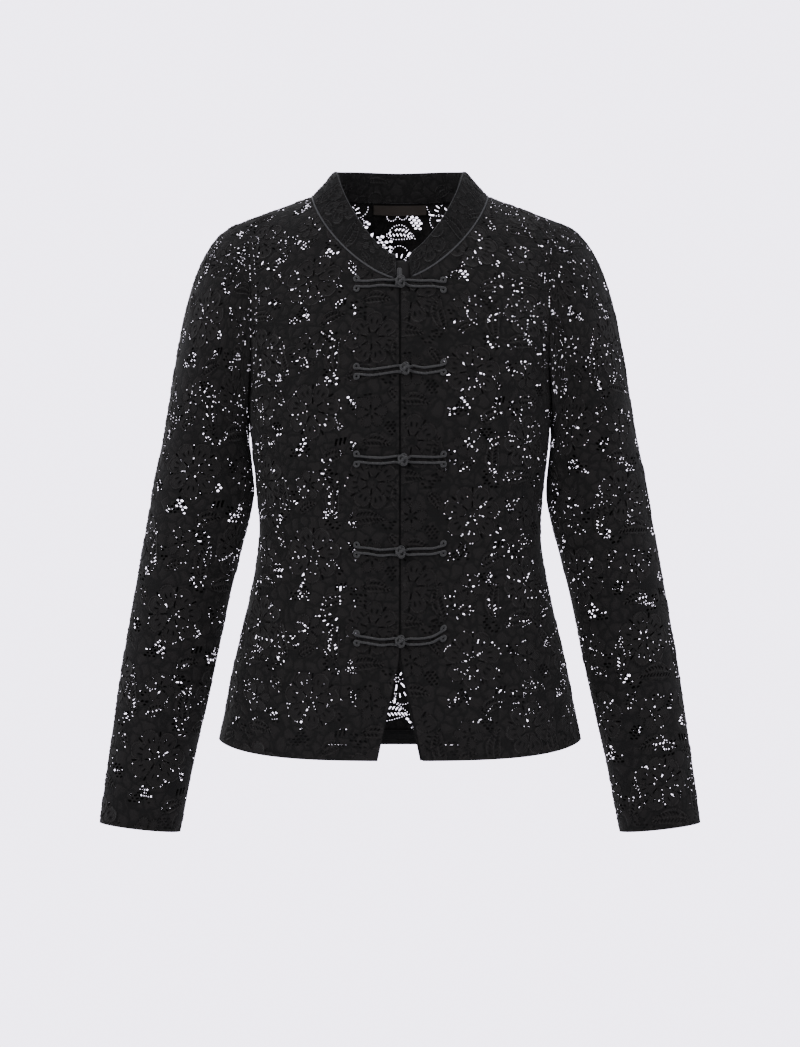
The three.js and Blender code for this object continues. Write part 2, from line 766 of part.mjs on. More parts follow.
// Front facings: the first columns of each front from above the hem, one cloth further in.
for (const [name, side] of [['facing_right', RIGHT], ['facing_left', LEFT]]) {
  const facing = [];
  for (let i = 2; i <= PANEL_ROWS; i += 1) {
    const row = Math.min(i, PANEL_ROWS - FACING_DROP);
    facing.push(fronts[side][0].slice(0, FACING_COLUMNS + 1).map((cell, j) => (
      onGrid(fronts[side], row, j, FACING_CLOTH)
    )));
  }
  add(name, wall(facing, LACE + SEAM_GAP), laceBlack);
}

// Sleeves, each a front half and a back half.
for (const [name, side, shift] of [['sleeve_right', RIGHT, 35], ['sleeve_left', LEFT, 81]]) {
  for (const [half, face] of [['front', FRONT], ['back', BACK]]) {
    const grid = trimSeams(halfSleeve(face, side), ['start', 'end', 'top']);
    const surfaceAt = (x, y) => {
      const { turn, t } = sleeveFromFlat(x, y);
      const round = face === FRONT ? turn : 2 * Math.PI - turn;
      const flip = vec(side, 1, 1);
      return { point: sleeve(round, t).multiply(flip), normal: sleeveNormal(round, t).multiply(flip) };
    };
    const start = { x: face === FRONT ? shift : shift + REPEAT.wide / 2, y: shift };
    add(`${name}_${half}`, cutLace(grid, start, surfaceAt), laceBlack);
  }
}

// Neck seam seen from above: from the right front edge round the back to the left front edge.
function neckSeam() {
  const edge = (grid, from, to) => grid[PANEL_ROWS].slice(from, to);
  const frontEnd = (side, x) => {
    const [near, far] = edge(fronts[side], 0, 2);
    const share = (x - Math.abs(near.point.x)) / (Math.abs(far.point.x) - Math.abs(near.point.x));
    return onGrid(fronts[side], PANEL_ROWS, share, COLLAR_CLOTH);
  };
  return [
    frontEnd(RIGHT, COLLAR_RIGHT_END),
    ...edge(fronts[RIGHT], 1, NECK_STEPS + 1),
    ...edge(back, PANEL_COLUMNS - NECK_STEPS + 1, PANEL_COLUMNS + NECK_STEPS),
    ...edge(fronts[LEFT], 1, NECK_STEPS + 1).reverse(),
    frontEnd(LEFT, COLLAR_LEFT_END),
  ];
}

function collarLean(point) {
  const inward = vec(-point.x, NECK_AXIS_Y - point.y, 0).normalize();
  const turn = THREE.MathUtils.radToDeg(Math.atan2(Math.abs(point.x), NECK_AXIS_Y - point.y));
  const lean = inward.multiplyScalar(along(COLLAR, 'turn', turn, 'inward'));
  return lean.add(vec(0, 0, along(COLLAR, 'turn', turn, 'up')));
}

function collarGrid() {
  const seam = neckSeam();
  const leans = seam.map((station) => collarLean(station.point));
  const rows = [];
  for (let i = 0; i <= COLLAR_ROWS; i += 1) {
    const share = i / COLLAR_ROWS;
    rows.push(seam.map((station, j) => {
      const start = station.point.clone().addScaledVector(leans[j].clone().normalize(), COLLAR_GAP);
      return { point: start.addScaledVector(leans[j], share), thick: COLLAR_CLOTH };
    }));
  }
  rows.forEach((row, i) => row.forEach((cell, j) => {
    const before = row[Math.max(0, j - 1)].point;
    const after = row[Math.min(row.length - 1, j + 1)].point;
    const normal = after.clone().sub(before).cross(leans[j]).normalize();
    const outward = cell.point.clone().sub(vec(0, NECK_AXIS_Y, cell.point.z));
    cell.normal = normal.dot(outward) < 0 ? normal.negate() : normal;
    if (i === 0) {
      cell.normal = seam[j].normal;
    }
  }));
  return rows;
}

add('collar', wall(collarGrid()), laceBlack);

// Small tab behind the space between the collar's front ends.
{
  const seam = neckSeam()[0];
  const lean = collarLean(vec(0, seam.point.y, seam.point.z)).normalize();
  const tab = new THREE.BoxGeometry(UNDERLAP.wide, UNDERLAP.thick, UNDERLAP.high);
  const outward = vec(0, -lean.z, lean.y);
  const middle = vec(UNDERLAP.x, seam.point.y, seam.point.z);
  middle.addScaledVector(lean, UNDERLAP.high / 2 - UNDERLAP.drop);
  middle.addScaledVector(outward, -UNDERLAP.behind - UNDERLAP.thick / 2);
  tab.applyMatrix4(new THREE.Matrix4().makeBasis(vec(1, 0, 0), outward.negate(), lean).setPosition(middle));
  add('collar_underlap', tab, laceBlack);
}

// Bare satin strip inside the back, just under the neck seam.
{
  const middle = PANEL_COLUMNS;
  const label = LABEL_ROWS.map((row) => (
    LABEL_COLUMNS.map((column) => onGrid(back, PANEL_ROWS + row, middle + column, LABEL_CLOTH))
  ));
  add('neck_label', wall(label, LACE + 3 * SEAM_GAP), labelBlack);
}

// Point on the outside of a front's facets at x, z, moved out by a lift.
function onFront(x, z, lift) {
  const grid = fronts[x < 0 ? RIGHT : LEFT];
  const seen = Math.sign(x) * Math.max(Math.abs(x), OPENING_HALF + 0.1);
  for (let i = 0; i + 1 < grid.length; i += 1) {
    for (let j = 0; j + 1 < grid[0].length; j += 1) {
      const corners = [grid[i][j], grid[i][j + 1], grid[i + 1][j + 1], grid[i + 1][j]];
      for (const [a, b, c] of [[0, 1, 2], [0, 2, 3]]) {
        const flat = (cell) => vec(cell.point.x, cell.point.z, 0);
        const triangle = new THREE.Triangle(flat(corners[a]), flat(corners[b]), flat(corners[c]));
        const share = triangle.getBarycoord(vec(seen, z, 0), vec(0, 0, 0));
        if (share && Math.min(share.x, share.y, share.z) > -1e-6) {
          const point = vec(0, 0, 0);
          const normal = vec(0, 0, 0);
          [[a, share.x], [b, share.y], [c, share.z]].forEach(([k, part]) => {
            point.addScaledVector(corners[k].point, part);
            normal.addScaledVector(corners[k].normal, part);
          });
          return vec(x, point.y, point.z).addScaledVector(normal.normalize(), lift);
        }
      }
    }
  }
  throw new Error(`no front cloth at ${x}, ${z}`);
}

function cordTube(points) {
  const section = new THREE.Shape();
  for (let k = 0; k < CORD_SIDES; k += 1) {
    const turn = (2 * Math.PI * k) / CORD_SIDES;
    const corner = [CORD_RADIUS * Math.cos(turn), CORD_RADIUS * Math.sin(turn)];
    if (k === 0) {
      section.moveTo(...corner);
    } else {
      section.lineTo(...corner);
    }
  }
  const path = new THREE.CatmullRomCurve3(points);
  return new THREE.ExtrudeGeometry(section, { steps: CORD_STEPS, extrudePath: path });
}

// One side of a closure as seen from the front: out along the upper cord, round, back along the lower.
function frogPath(frog, side, inner) {
  const end = side === RIGHT ? frog.rightEnd : frog.leftEnd;
  const lift = CORD_RADIUS + CORD_CLEAR;
  const outer = side * FROG_REACH;
  const start = frog.knot + side * 9;
  const drift = (x) => {
    const share = (x - start) / (outer - start);
    return end * share * share + frog.sag * Math.sin(Math.PI * share);
  };
  const cord = (x, offset, up) => onFront(x, frog.z + drift(x) + offset, lift + up);
  const stations = [1, 0.66, 0.33, 0].map((share) => mix(start, outer, share));
  const tip = (spread) => cord(outer - side * 3.5, spread, 0.2);
  return [
    tip(CORD_SPREAD + 3.2),
    ...stations.map((x) => cord(x, CORD_SPREAD, 0)),
    ...inner.map(([dx, dz, up]) => onFront(frog.knot + side * dx, frog.z + dz, lift + up)),
    ...stations.reverse().map((x) => cord(x, -CORD_SPREAD, 0)),
    tip(-CORD_SPREAD - 3.2),
  ];
}

const LOOP_TURN = [[3.5, 3.4, 0], [-1.5, 3.2, 0], [-3.4, 0, 0], [-1.5, -3.2, 0], [3.5, -3.4, 0]];
const KNOT_TURN = [[6.6, 2.4, 2.2], [4, 1.2, 5], [2.6, 0, 6], [4, -1.2, 5], [6.6, -2.4, 2.2]];

FROGS.forEach((frog, k) => {
  const name = `frog_${k + 1}`;
  add(`${name}_loop`, fromSolid(toSolid(cordTube(frogPath(frog, RIGHT, LOOP_TURN)))), satinBlack);
  const knot = new THREE.SphereGeometry(1, 8, 6);
  knot.scale(KNOT.wide, KNOT.deep, KNOT.high);
  const ball = onFront(frog.knot, frog.z, KNOT.lift);
  knot.translate(ball.x, ball.y, ball.z);
  const stem = new THREE.CylinderGeometry(STEM.radius, STEM.radius, STEM.top - STEM.foot, STEM.sides);
  const foot = onFront(frog.knot, frog.z, (STEM.top + STEM.foot) / 2);
  stem.translate(foot.x, foot.y, foot.z);
  const cords = toSolid(cordTube(frogPath(frog, LEFT, KNOT_TURN)));
  const whole = cords.add(toSolid(knot)).add(toSolid(stem));
  add(`${name}_knot`, fromSolid(whole.simplify(LEAST_EDGE)), satinBlack);
});

export default group;
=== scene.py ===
# %% [markdown]
# A mandarin collar shirt in black corded lace, filled out as if worn, with nobody in it.
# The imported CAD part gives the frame: its solids are plain walls, and each is replaced here by
# lace with real holes, bands, cords and stitches on the same surfaces. Sizes are in millimetres
# until a mesh is made; the origin is the middle of the neck opening and the front faces -Y.

# %% Frame
import math

import bmesh
import bpy
import numpy as np
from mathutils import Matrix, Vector
from mathutils.geometry import delaunay_2d_cdt


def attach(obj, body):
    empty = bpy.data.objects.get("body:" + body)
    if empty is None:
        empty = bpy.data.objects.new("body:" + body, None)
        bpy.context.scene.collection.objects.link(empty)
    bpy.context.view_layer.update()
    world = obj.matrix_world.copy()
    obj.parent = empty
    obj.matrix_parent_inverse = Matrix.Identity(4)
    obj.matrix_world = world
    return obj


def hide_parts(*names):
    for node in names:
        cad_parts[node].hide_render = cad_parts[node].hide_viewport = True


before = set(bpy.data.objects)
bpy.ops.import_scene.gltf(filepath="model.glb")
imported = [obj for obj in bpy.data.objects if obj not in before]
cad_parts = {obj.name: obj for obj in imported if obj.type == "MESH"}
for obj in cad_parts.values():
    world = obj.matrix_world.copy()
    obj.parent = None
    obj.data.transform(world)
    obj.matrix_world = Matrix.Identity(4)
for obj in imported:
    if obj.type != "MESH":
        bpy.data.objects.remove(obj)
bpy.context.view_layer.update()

MM = 0.001
QUARTER = math.pi / 2
FRONT, BACK = -1, 1
RIGHT, LEFT = -1, 1


def placed(name, data):
    """A new object in the scene that shows a mesh, a camera or a light."""
    obj = bpy.data.objects.new(name, data)
    bpy.context.scene.collection.objects.link(obj)
    return obj



# %% [markdown]
# The camera stands level in front of the shirt, at the distance that makes one photo pixel
# 1.05 mm on the middle of the garment. It comes first, because the frame checks look through it.

# %% Camera
PIXEL = 1.05
PHOTO_SIZE = (800, 1047)
CAMERA_AWAY = 2600
CAMERA_Z = -320
SENSOR = 36

camera = bpy.data.cameras.new("Camera")
camera.sensor_width = SENSOR
camera.lens = SENSOR * CAMERA_AWAY / (PIXEL * PHOTO_SIZE[1])
view_point = placed("Camera", camera)
view_point.location = (0, -CAMERA_AWAY * MM, CAMERA_Z * MM)
view_point.rotation_euler = (QUARTER, 0, 0)
bpy.context.scene.camera = view_point


# %% [markdown]
# The body of the shirt is one formula for its girth at each level, so every panel, band and
# closure can lie on the same smooth surface. A table with a smooth curve through it keeps the
# girth easy to change.

# %% Torso surface
def table(columns, *rows):
    """Columns of a small table by name."""
    return dict(zip(columns.split(), np.array(rows, float).T))


HEM_Z, HEM_SIDE_RISE, HEM_TURN, UNDERARM_Z = -560, 15, 16, -190
GIRTH = table(
    "z half front back",
    (-560, 190, 101, 91),
    (-526, 183, 99, 89),
    (-484, 175.4, 96, 85),
    (-442, 166, 92, 80),
    (-400, 156.5, 89, 76),
    (-350, 148.5, 88, 74),
    (-316, 148, 90, 76),
    (-245, 155, 99, 86),
    (-190, 160, 102, 92),
)
SIDE_FULLNESS, BACK_ARCH = 0.046, 0.083
RIDGE_TOP, RIDGE_SLOPE, RIDGE_SOFT = 57.8, 0.37, 20
SHOULDER_HALF, SHOULDER_SPREAD, CHEST_BLEND = 184, 8, 0.3
NECK_HALF, NECK_BACK_Z, NECK_DROP, NECK_POWER = 92, 23, 96, 2 / 1.5
OPENING_HALF, SLIT_TOP_Z, SLIT_HALF = 0.8, -456, 22
ARMHOLE = table(
    "share x",
    (0, 172), (0.15, 164.5), (0.35, 157.5), (0.6, 154), (0.8, 153.5), (0.93, 156), (1, 160),
)


def mix(start, end, share):
    return start + (end - start) * share


def smooth(share):
    t = np.clip(share, 0, 1)
    return t * t * (3 - 2 * t)


def unit(vectors):
    return vectors / np.maximum(np.linalg.norm(vectors, axis=-1, keepdims=True), 1e-9)


def along(rows, key, column, value):
    """Smooth curve through one column, with each slope taken from the neighbours."""
    xs, ys = rows[key], rows[column]
    before = np.maximum(np.arange(len(xs)) - 1, 0)
    after = np.minimum(np.arange(len(xs)) + 1, len(xs) - 1)
    slopes = (ys[after] - ys[before]) / (xs[after] - xs[before])
    i = np.clip(np.searchsorted(xs, value) - 1, 0, len(xs) - 2)
    span = xs[i + 1] - xs[i]
    t = np.clip((value - xs[i]) / span, 0, 1)
    rising = slopes[i] * span * (t**3 - 2 * t**2 + t) + slopes[i + 1] * span * (t**3 - t**2)
    return ys[i] * (2 * t**3 - 3 * t**2 + 1) + ys[i + 1] * (3 * t**2 - 2 * t**3) + rising


def ridge(x):
    return RIDGE_TOP - RIDGE_SLOPE * np.hypot(x, RIDGE_SOFT)


def torso_half(v):
    low = along(GIRTH, "z", "half", mix(HEM_Z, UNDERARM_Z, np.minimum(v, 1)))
    high = mix(GIRTH["half"][-1], SHOULDER_HALF - SHOULDER_SPREAD, smooth((v - 1) / CHEST_BLEND))
    return np.where(v <= 1, low, high + SHOULDER_SPREAD * (v - 1) ** 2)


def torso(a, v, face):
    """Point at angle a from the middle and level v: 0 hem, 1 underarm, 2 shoulder ridge."""
    level = np.minimum(v, 1)
    rise = np.maximum(0, v - 1) * QUARTER
    depth = along(GIRTH, "z", "front" if face == FRONT else "back", mix(HEM_Z, UNDERARM_Z, level))
    fullness = 1 + SIDE_FULLNESS * np.sin(2 * a) ** 2
    arch = 1 + (BACK_ARCH if face == BACK else 0) * np.sin(2 * rise) ** 2
    x = torso_half(v) * np.sin(a) * fullness
    y = face * depth * np.cos(a) * fullness * np.cos(rise) * arch
    low = mix(HEM_Z + HEM_SIDE_RISE * np.sin(a) ** 4, UNDERARM_Z, level)
    return np.stack([x, y, low + (ridge(x) - UNDERARM_Z) * np.sin(rise) * arch], -1)


def torso_normal(a, v, face):
    step = 0.002
    across = torso(a + step, v, face) - torso(a - step, v, face)
    upward = torso(a, v + step, face) - torso(a, v - step, face)
    normal = unit(np.cross(across, upward))
    out = torso(a, v, face)
    out[..., 2] = np.maximum(0, out[..., 2] - UNDERARM_Z)
    return normal * np.where(np.sum(normal * out, -1, keepdims=True) < 0, -1, 1)


def mirror(x):
    """What turns a point of the left half over to the side that x is on."""
    ones = np.ones_like(x)
    return np.stack([np.where(x < 0, -1.0, 1.0), ones, ones], -1)


def off_torso(a, v, face, lift, turn):
    """Points off the torso's surface, outside it if the lift is more than none."""
    return (torso(a, v, face) + torso_normal(a, v, face) * lift) * turn


SOLVER_STEPS, SOLVER_SHARE = 40, 0.7


def angle_for_width(x, v):
    low, high = np.zeros_like(v), np.full_like(v, QUARTER)
    for _ in range(30):
        middle = (low + high) / 2
        short = torso(middle, v, FRONT)[..., 0] < x
        low, high = np.where(short, middle, low), np.where(short, high, middle)
    return (low + high) / 2


def torso_place(x, z, face):
    """Angle and level of the torso point seen from the front or back at x, z."""
    a = np.arcsin(np.minimum(0.99, x / SHOULDER_HALF))
    low = (z - HEM_Z) / (UNDERARM_Z - HEM_Z)
    v = np.where(z < UNDERARM_Z, low, 1 + (z - UNDERARM_Z) / 260)
    step = 1e-4
    for _ in range(SOLVER_STEPS):
        p = torso(a, v, face)
        pa = (torso(a + step, v, face) - p) / step
        pv = (torso(a, v + step, face) - p) / step
        det = pa[..., 0] * pv[..., 2] - pv[..., 0] * pa[..., 2]
        dx, dz = x - p[..., 0], z - p[..., 2]
        a = a + SOLVER_SHARE * (dx * pv[..., 2] - pv[..., 0] * dz) / det
        v = np.clip(v + SOLVER_SHARE * (pa[..., 0] * dz - dx * pa[..., 2]) / det, 0, 2)
    return a, v


def slit_angle(v):
    z = mix(HEM_Z, UNDERARM_Z, np.minimum(v, 1))
    open_half = SLIT_HALF * np.maximum(0, (SLIT_TOP_Z - z) / (SLIT_TOP_Z - HEM_Z))
    return np.arcsin((OPENING_HALF + open_half) / torso_half(v))


# %% [markdown]
# Each sleeve is a tube from the cuff to below the underarm, and a cap that sweeps from the tube's
# top into the armhole. Soft creases cross it at the head and at the elbow.

# %% Sleeve surface
SLEEVE = table(
    "z x y wide deep tilt",
    (-636, 271, -18, 42.5, 27, 0.115),
    (-568, 260, -16, 44.2, 31, 0.15),
    (-526, 252.5, -14, 45.8, 34, 0.17),
    (-484, 244.8, -12, 47.6, 37, 0.18),
    (-442, 237, -10, 48.5, 39.5, 0.19),
    (-400, 229, -8, 49.3, 42, 0.2),
    (-358, 220.5, -6, 50.5, 43.5, 0.2),
    (-316, 211.5, -4, 52, 45, 0.17),
    (-285, 206, -3, 53, 46.5, 0.1),
    (-240, 203.8, -1, 46.4, 52, 0),
)
CAP_OUT, CAP_TOP_LEAN, CAP_FRONT_LEAN, CAP_DOWN_LEAN = 0.75, (0.93, -0.37), 0.35, (0.2, -0.98)
SLEEVE_CLEAR, CUFF_TURN = 0.6, 17
# Creases: height along the sleeve, how deep, how long, and where round it.
SLEEVE_FOLDS = [(1.18, 1.6, 0.07, 1.9), (1.32, 1.3, 0.06, 1.7), (0.62, 1.2, 0.05, 2.4), (0.52, 1, 0.05, 2.2)]


def sleeve_out(turn):
    return np.stack([np.cos(turn), -np.sin(turn), 0 * turn], -1)


def fold_depth(turn, t):
    depth = 0
    for at, deep, long, middle in SLEEVE_FOLDS:
        away = np.arctan2(np.sin(turn - middle), np.cos(turn - middle))
        depth = depth + deep * np.exp(-(((t - at - 0.03 * away) / long) ** 2) - (away / 0.8) ** 2)
    return depth[..., None]


def sleeve_tube(turn, t):
    z = mix(SLEEVE["z"][0], SLEEVE["z"][-1], t)
    x, y, wide, deep, tilt = (along(SLEEVE, "z", column, z) for column in "x y wide deep tilt".split())
    lean = np.arctan(tilt)
    across = wide * np.cos(turn)
    point = np.stack([x + across * np.cos(lean), y - deep * np.sin(turn), z + across * np.sin(lean)], -1)
    return point - sleeve_out(turn) * fold_depth(turn, t)


EDGE_SHARE = np.linspace(0, 1, 129)
EDGE_ANGLE = angle_for_width(along(ARMHOLE, "share", "x", EDGE_SHARE), 2 - EDGE_SHARE)
EDGE_ANGLE[-1] = QUARTER


def armhole_edge(turn):
    round_ = np.mod(turn, 2 * math.pi)
    share = np.where(round_ <= math.pi, round_ / math.pi, 2 - round_ / math.pi)
    a = np.interp(share, EDGE_SHARE, EDGE_ANGLE)
    edges = [torso(a, 2 - share, face) for face in (FRONT, BACK)]
    return np.where((round_ <= math.pi)[..., None], edges[0], edges[1])


def sleeve(turn, t):
    """Point at a turn from the outer line over the front, and t from the cuff 0 to the armhole 2."""
    turn, t = np.broadcast_arrays(np.asarray(turn, float), np.asarray(t, float))
    under = (1 - np.cos(turn)) / 2
    start = sleeve_tube(turn, np.minimum(t, 1))
    top = sleeve_tube(turn, np.ones_like(t))
    end = armhole_edge(turn) + np.stack([SLEEVE_CLEAR * under, 0 * turn, 0 * turn], -1)
    reach = np.linalg.norm(end - top, axis=-1, keepdims=True)
    leave = np.stack([
        mix(CAP_TOP_LEAN[0], 0, under), -CAP_FRONT_LEAN * np.sin(turn), mix(CAP_TOP_LEAN[1], -1, under),
    ], -1)
    arrive = np.stack([mix(CAP_DOWN_LEAN[0], -0.1, under), 0 * turn, CAP_DOWN_LEAN[1] + 0 * turn], -1)
    k = np.clip(2 - t, 0, 1)[..., None]
    cap = end * (2 * k**3 - 3 * k**2 + 1) + top * (3 * k**2 - 2 * k**3)
    cap = cap + unit(leave) * reach * CAP_OUT * (k**3 - 2 * k**2 + k) + unit(arrive) * reach * (k**3 - k**2)
    cap = cap - sleeve_out(turn) * (fold_depth(turn, t) - fold_depth(turn, np.ones_like(t)) * k)
    return np.where((t <= 1)[..., None], start, cap)


def sleeve_normal(turn, t):
    step = 0.002
    around = sleeve(turn + step, t) - sleeve(turn - step, t)
    upward = sleeve(turn, np.minimum(2, t + step)) - sleeve(turn, np.maximum(0, t - step))
    normal = unit(np.cross(around, upward))
    middle = (sleeve(0 * turn, t) + sleeve(0 * turn + math.pi, t)) / 2
    out = sleeve(turn, t) - middle
    return normal * np.where(np.sum(normal * out, -1, keepdims=True) < 0, -1, 1)


# %% [markdown]
# A maker cuts lace flat, so its flowers keep their size wherever the cloth bends. The surfaces are
# therefore unrolled: x is the way round the body or the arm, y the way up, both measured along the
# cloth. Tables of measured lengths turn a flat place back into an angle and a level.

# %% Flat cloth
SHARES = np.linspace(0, 1, 161)


def lengths(points):
    steps = np.linalg.norm(np.diff(points, axis=-2), axis=-1)
    return np.concatenate([np.zeros(steps.shape[:-1] + (1,)), np.cumsum(steps, -1)], -1)


def grid_value(values, row, column):
    """Value between the entries of a square table, at rows and columns from 0 to 1."""
    size = np.array(values.shape) - 1
    i = np.clip(row * size[0], 0, size[0] - 1e-6)
    j = np.clip(column * size[1], 0, size[1] - 1e-6)
    i0, j0 = i.astype(int), j.astype(int)
    low = mix(values[i0, j0], values[i0, j0 + 1], j - j0)
    high = mix(values[i0 + 1, j0], values[i0 + 1, j0 + 1], j - j0)
    return mix(low, high, i - i0)


def angles_of(widths, whole):
    """Angles that lie at even shares of each row's measured width."""
    return np.array([np.interp(SHARES * row[-1], row, SHARES * whole) for row in widths])


class FlatTorso:
    """Front or back of the body between flat cloth and its place in the room."""

    def __init__(self, face):
        self.face = face
        self.levels = 2 * SHARES
        self.heights = lengths(torso(0 * SHARES, self.levels, face))
        angles, levels = np.meshgrid(SHARES * QUARTER, self.levels)
        self.widths = lengths(torso(angles, levels, face))
        self.angles = angles_of(self.widths, QUARTER)

    def flat(self, a, v):
        x = grid_value(self.widths, v / 2, np.abs(a) / QUARTER)
        return np.stack([np.sign(a) * x, np.interp(v, self.levels, self.heights)], -1)

    def spot(self, flat):
        v = np.interp(flat[:, 1], self.heights, self.levels)
        whole = np.interp(v, self.levels, self.widths[:, -1])
        a = grid_value(self.angles, v / 2, np.clip(np.abs(flat[:, 0]) / whole, 0, 1))
        turn = mirror(flat[:, 0])
        return torso(a, v, self.face) * turn, torso_normal(a, v, self.face) * turn


class FlatSleeve:
    """Front or back half of a sleeve between flat cloth and its place in the room."""

    def __init__(self, face, side):
        self.face = face
        self.turn = np.array([side, 1.0, 1.0])
        halves, levels = np.meshgrid(SHARES * math.pi, SHARES)
        self.widths = lengths(sleeve(halves, levels))
        self.angles = angles_of(self.widths, math.pi)
        self.tall = lengths(sleeve(0 * SHARES, SHARES))[-1]
        self.caps = np.linalg.norm(sleeve(SHARES * math.pi, 1) - sleeve(SHARES * math.pi, 2), axis=-1)
        top = lengths(sleeve(SHARES * math.pi, 2))[-1]
        self.top_share = top / self.widths[-1, -1]

    def spread(self, t):
        return mix(1, self.top_share, np.maximum(0, t - 1))

    def flat(self, half, t):
        x = grid_value(self.widths, np.minimum(t, 1), half / math.pi) * self.spread(t)
        cap = np.interp(half, SHARES * math.pi, self.caps)
        return np.stack([x, np.where(t <= 1, self.tall * t, self.tall + (t - 1) * cap)], -1)

    def spot(self, flat):
        t = np.minimum(1, flat[:, 1] / self.tall)
        for _ in range(9):
            level = np.minimum(t, 1)
            whole = np.interp(level, SHARES, self.widths[:, -1])
            share = np.clip(np.abs(flat[:, 0]) / self.spread(t) / whole, 0, 1)
            half = grid_value(self.angles, level, share)
            cap = np.interp(half, SHARES * math.pi, self.caps)
            t = np.where(flat[:, 1] <= self.tall, t, np.minimum(2, 1 + (flat[:, 1] - self.tall) / cap))
        turn = half if self.face == FRONT else 2 * math.pi - half
        return sleeve(turn, t) * self.turn, sleeve_normal(turn, t) * self.turn


front_cloth, back_cloth = FlatTorso(FRONT), FlatTorso(BACK)
EDGE_STEPS = 60


def neckline(share, face):
    """Angle and level of the neck edge, from the middle 0 to the shoulder 1."""
    turn = share * QUARTER
    if face == FRONT:
        x = NECK_HALF * np.sin(turn) ** NECK_POWER
        z = NECK_BACK_Z - NECK_DROP * np.maximum(0, np.cos(turn)) ** NECK_POWER
    else:
        x, z = NECK_HALF * np.sin(turn), NECK_BACK_Z + 0 * turn
    return torso_place(x, z, face)


def half_outline(face):
    """Angles and levels round half a panel: up its middle, neck, shoulder, armhole, side."""
    s = np.linspace(0, 1, EDGE_STEPS)
    neck_a, neck_v = neckline(s, face)
    middle_v = s[:-1] * neck_v[0]
    middle_a = slit_angle(middle_v) if face == FRONT else 0 * middle_v
    shoulder_a = angle_for_width(mix(NECK_HALF, ARMHOLE["x"][0], s[1:-1]), 2 + 0 * s[1:-1])
    arm_a = np.interp(s, EDGE_SHARE, EDGE_ANGLE)
    neck_a[0] = max(neck_a[0], middle_a[-1])
    hem_a = mix(QUARTER, middle_a[0], s[1:-1])
    a = np.concatenate([middle_a, neck_a, shoulder_a, arm_a, QUARTER + 0 * s[1:], hem_a])
    v = np.concatenate([middle_v, neck_v, 2 + 0 * s[1:-1], 2 - s, 1 - s[1:], 0 * s[1:-1]])
    return a, v


def spaced(points, count, to_end=True):
    """So many points evenly along a path, with or without its far end."""
    way = lengths(points)
    at = np.linspace(0, way[-1], count, endpoint=to_end)
    return np.stack([np.interp(at, way, column) for column in points.T], -1)


def resample(loop, step):
    """The closed flat outline with its points a step apart, as even as they go."""
    whole = np.vstack([loop, loop[:1]])
    return spaced(whole, int(lengths(whole)[-1] / step), False)


def counterclockwise(loop):
    after = np.roll(loop, -1, 0)
    area = np.sum(loop[:, 0] * after[:, 1] - after[:, 0] * loop[:, 1]) / 2
    return (loop if area > 0 else loop[::-1]), abs(area)


def front_loop(side):
    a, v = half_outline(FRONT)
    return front_cloth.flat(a, v) * [side, 1]


def back_loop():
    a, v = half_outline(BACK)
    half = back_cloth.flat(a, v)[EDGE_STEPS - 1:]
    return np.vstack([half, half[::-1] * [-1, 1]])


def sleeve_loop(cloth):
    s = np.linspace(0, 1, EDGE_STEPS)
    half = np.concatenate([math.pi * s, math.pi + 0 * s[1:], math.pi * (1 - s[1:]), 0 * s[1:-1]])
    t = np.concatenate([0 * s, 2 * s[1:], 2 + 0 * s[1:], 2 * (1 - s[1:-1])])
    return cloth.flat(half, t)


# %% [markdown]
# The lace repeats every 124 by 148 mm: two large flowers, two small ones and leaves between them,
# with patches of ground that are full of ladder gaps. Small round holes follow the outlines, and
# slim slots stand round each flower's heart and beside each leaf's rib. Corded lace is drawn by
# such holes, so they are cut for real and not painted.

# %% Lace repeat
REPEAT = np.array([124.0, 148.0])
# The largest slots, as the CAD walls have them: place, length, width and turn in degrees.
LARGE_GAPS = [(59, 7, 8, 2.6, 80), (63.5, 8, 8.5, 2.6, 80), (68, 9, 8, 2.6, 80), (119, 80, 7.5, 3, 20)]
# Flowers: place, radius, petals, turn.
FLOWERS = [(34, 40, 29, 7, 0.2), (96, 114, 27, 7, 0.55), (95, 38, 16, 6, 0.1), (30, 112, 15, 6, 0.9)]
# Leaves: foot, length, width, direction in degrees.
LEAVES = [
    (68, 73, 42, 15, 4), (58, 78, 42, 14, 84), (6, 80, 42, 13, 98), (42, 133, 30, 12, 22),
    (84, 7, 32, 12, -6), (18, 82, 24, 9, 28), (112, 62, 22, 9, -58),
]
PIN, PIN_PITCH, CLEAR, CLEAR_SLOT = 0.46, 2.8, 0.65, 0.6
# A flower's heart is a ring of pins. Its slots: way out as a share of the radius, length, width.
HEART, HEART_PITCH, LARGE_FLOWER = 0.1, 2.9, 20
HEART_SLOT, TIP_SLOT = (0.33, 0.26, 1.5), (0.86, 6.0, 1.9)
# Slots inside a petal: way out, way to the side, length, width, slant in degrees.
PETAL_SLOT = (0.65, 2.75, 4.8, 1.1, 12)
# Slots beside a leaf's rib: pitch, length as a share of the leaf's width, width, slant.
LEAF_SLOT = (3.7, 0.28, 1.2, 48)
# Rows of pins stand this much wider than the petal or the leaf that they follow.
PETAL_RIM, LEAF_RIM = 1.17, 1.36
# Ladders fill the ground between the flowers: size of a gap, its pitch, and where patches begin.
LADDER, LADDER_PITCH, LADDER_PATCH = (3.9, 2.2), (5.0, 3.1), 0.5


def turned(points, degrees, place):
    c, s = math.cos(math.radians(degrees)), math.sin(math.radians(degrees))
    return np.asarray(points) @ np.array([[c, s], [-s, c]]) + np.asarray(place)


def ring(place, radius, spin):
    return np.asarray(place) + radius * np.stack([np.cos(spin), np.sin(spin)], -1)


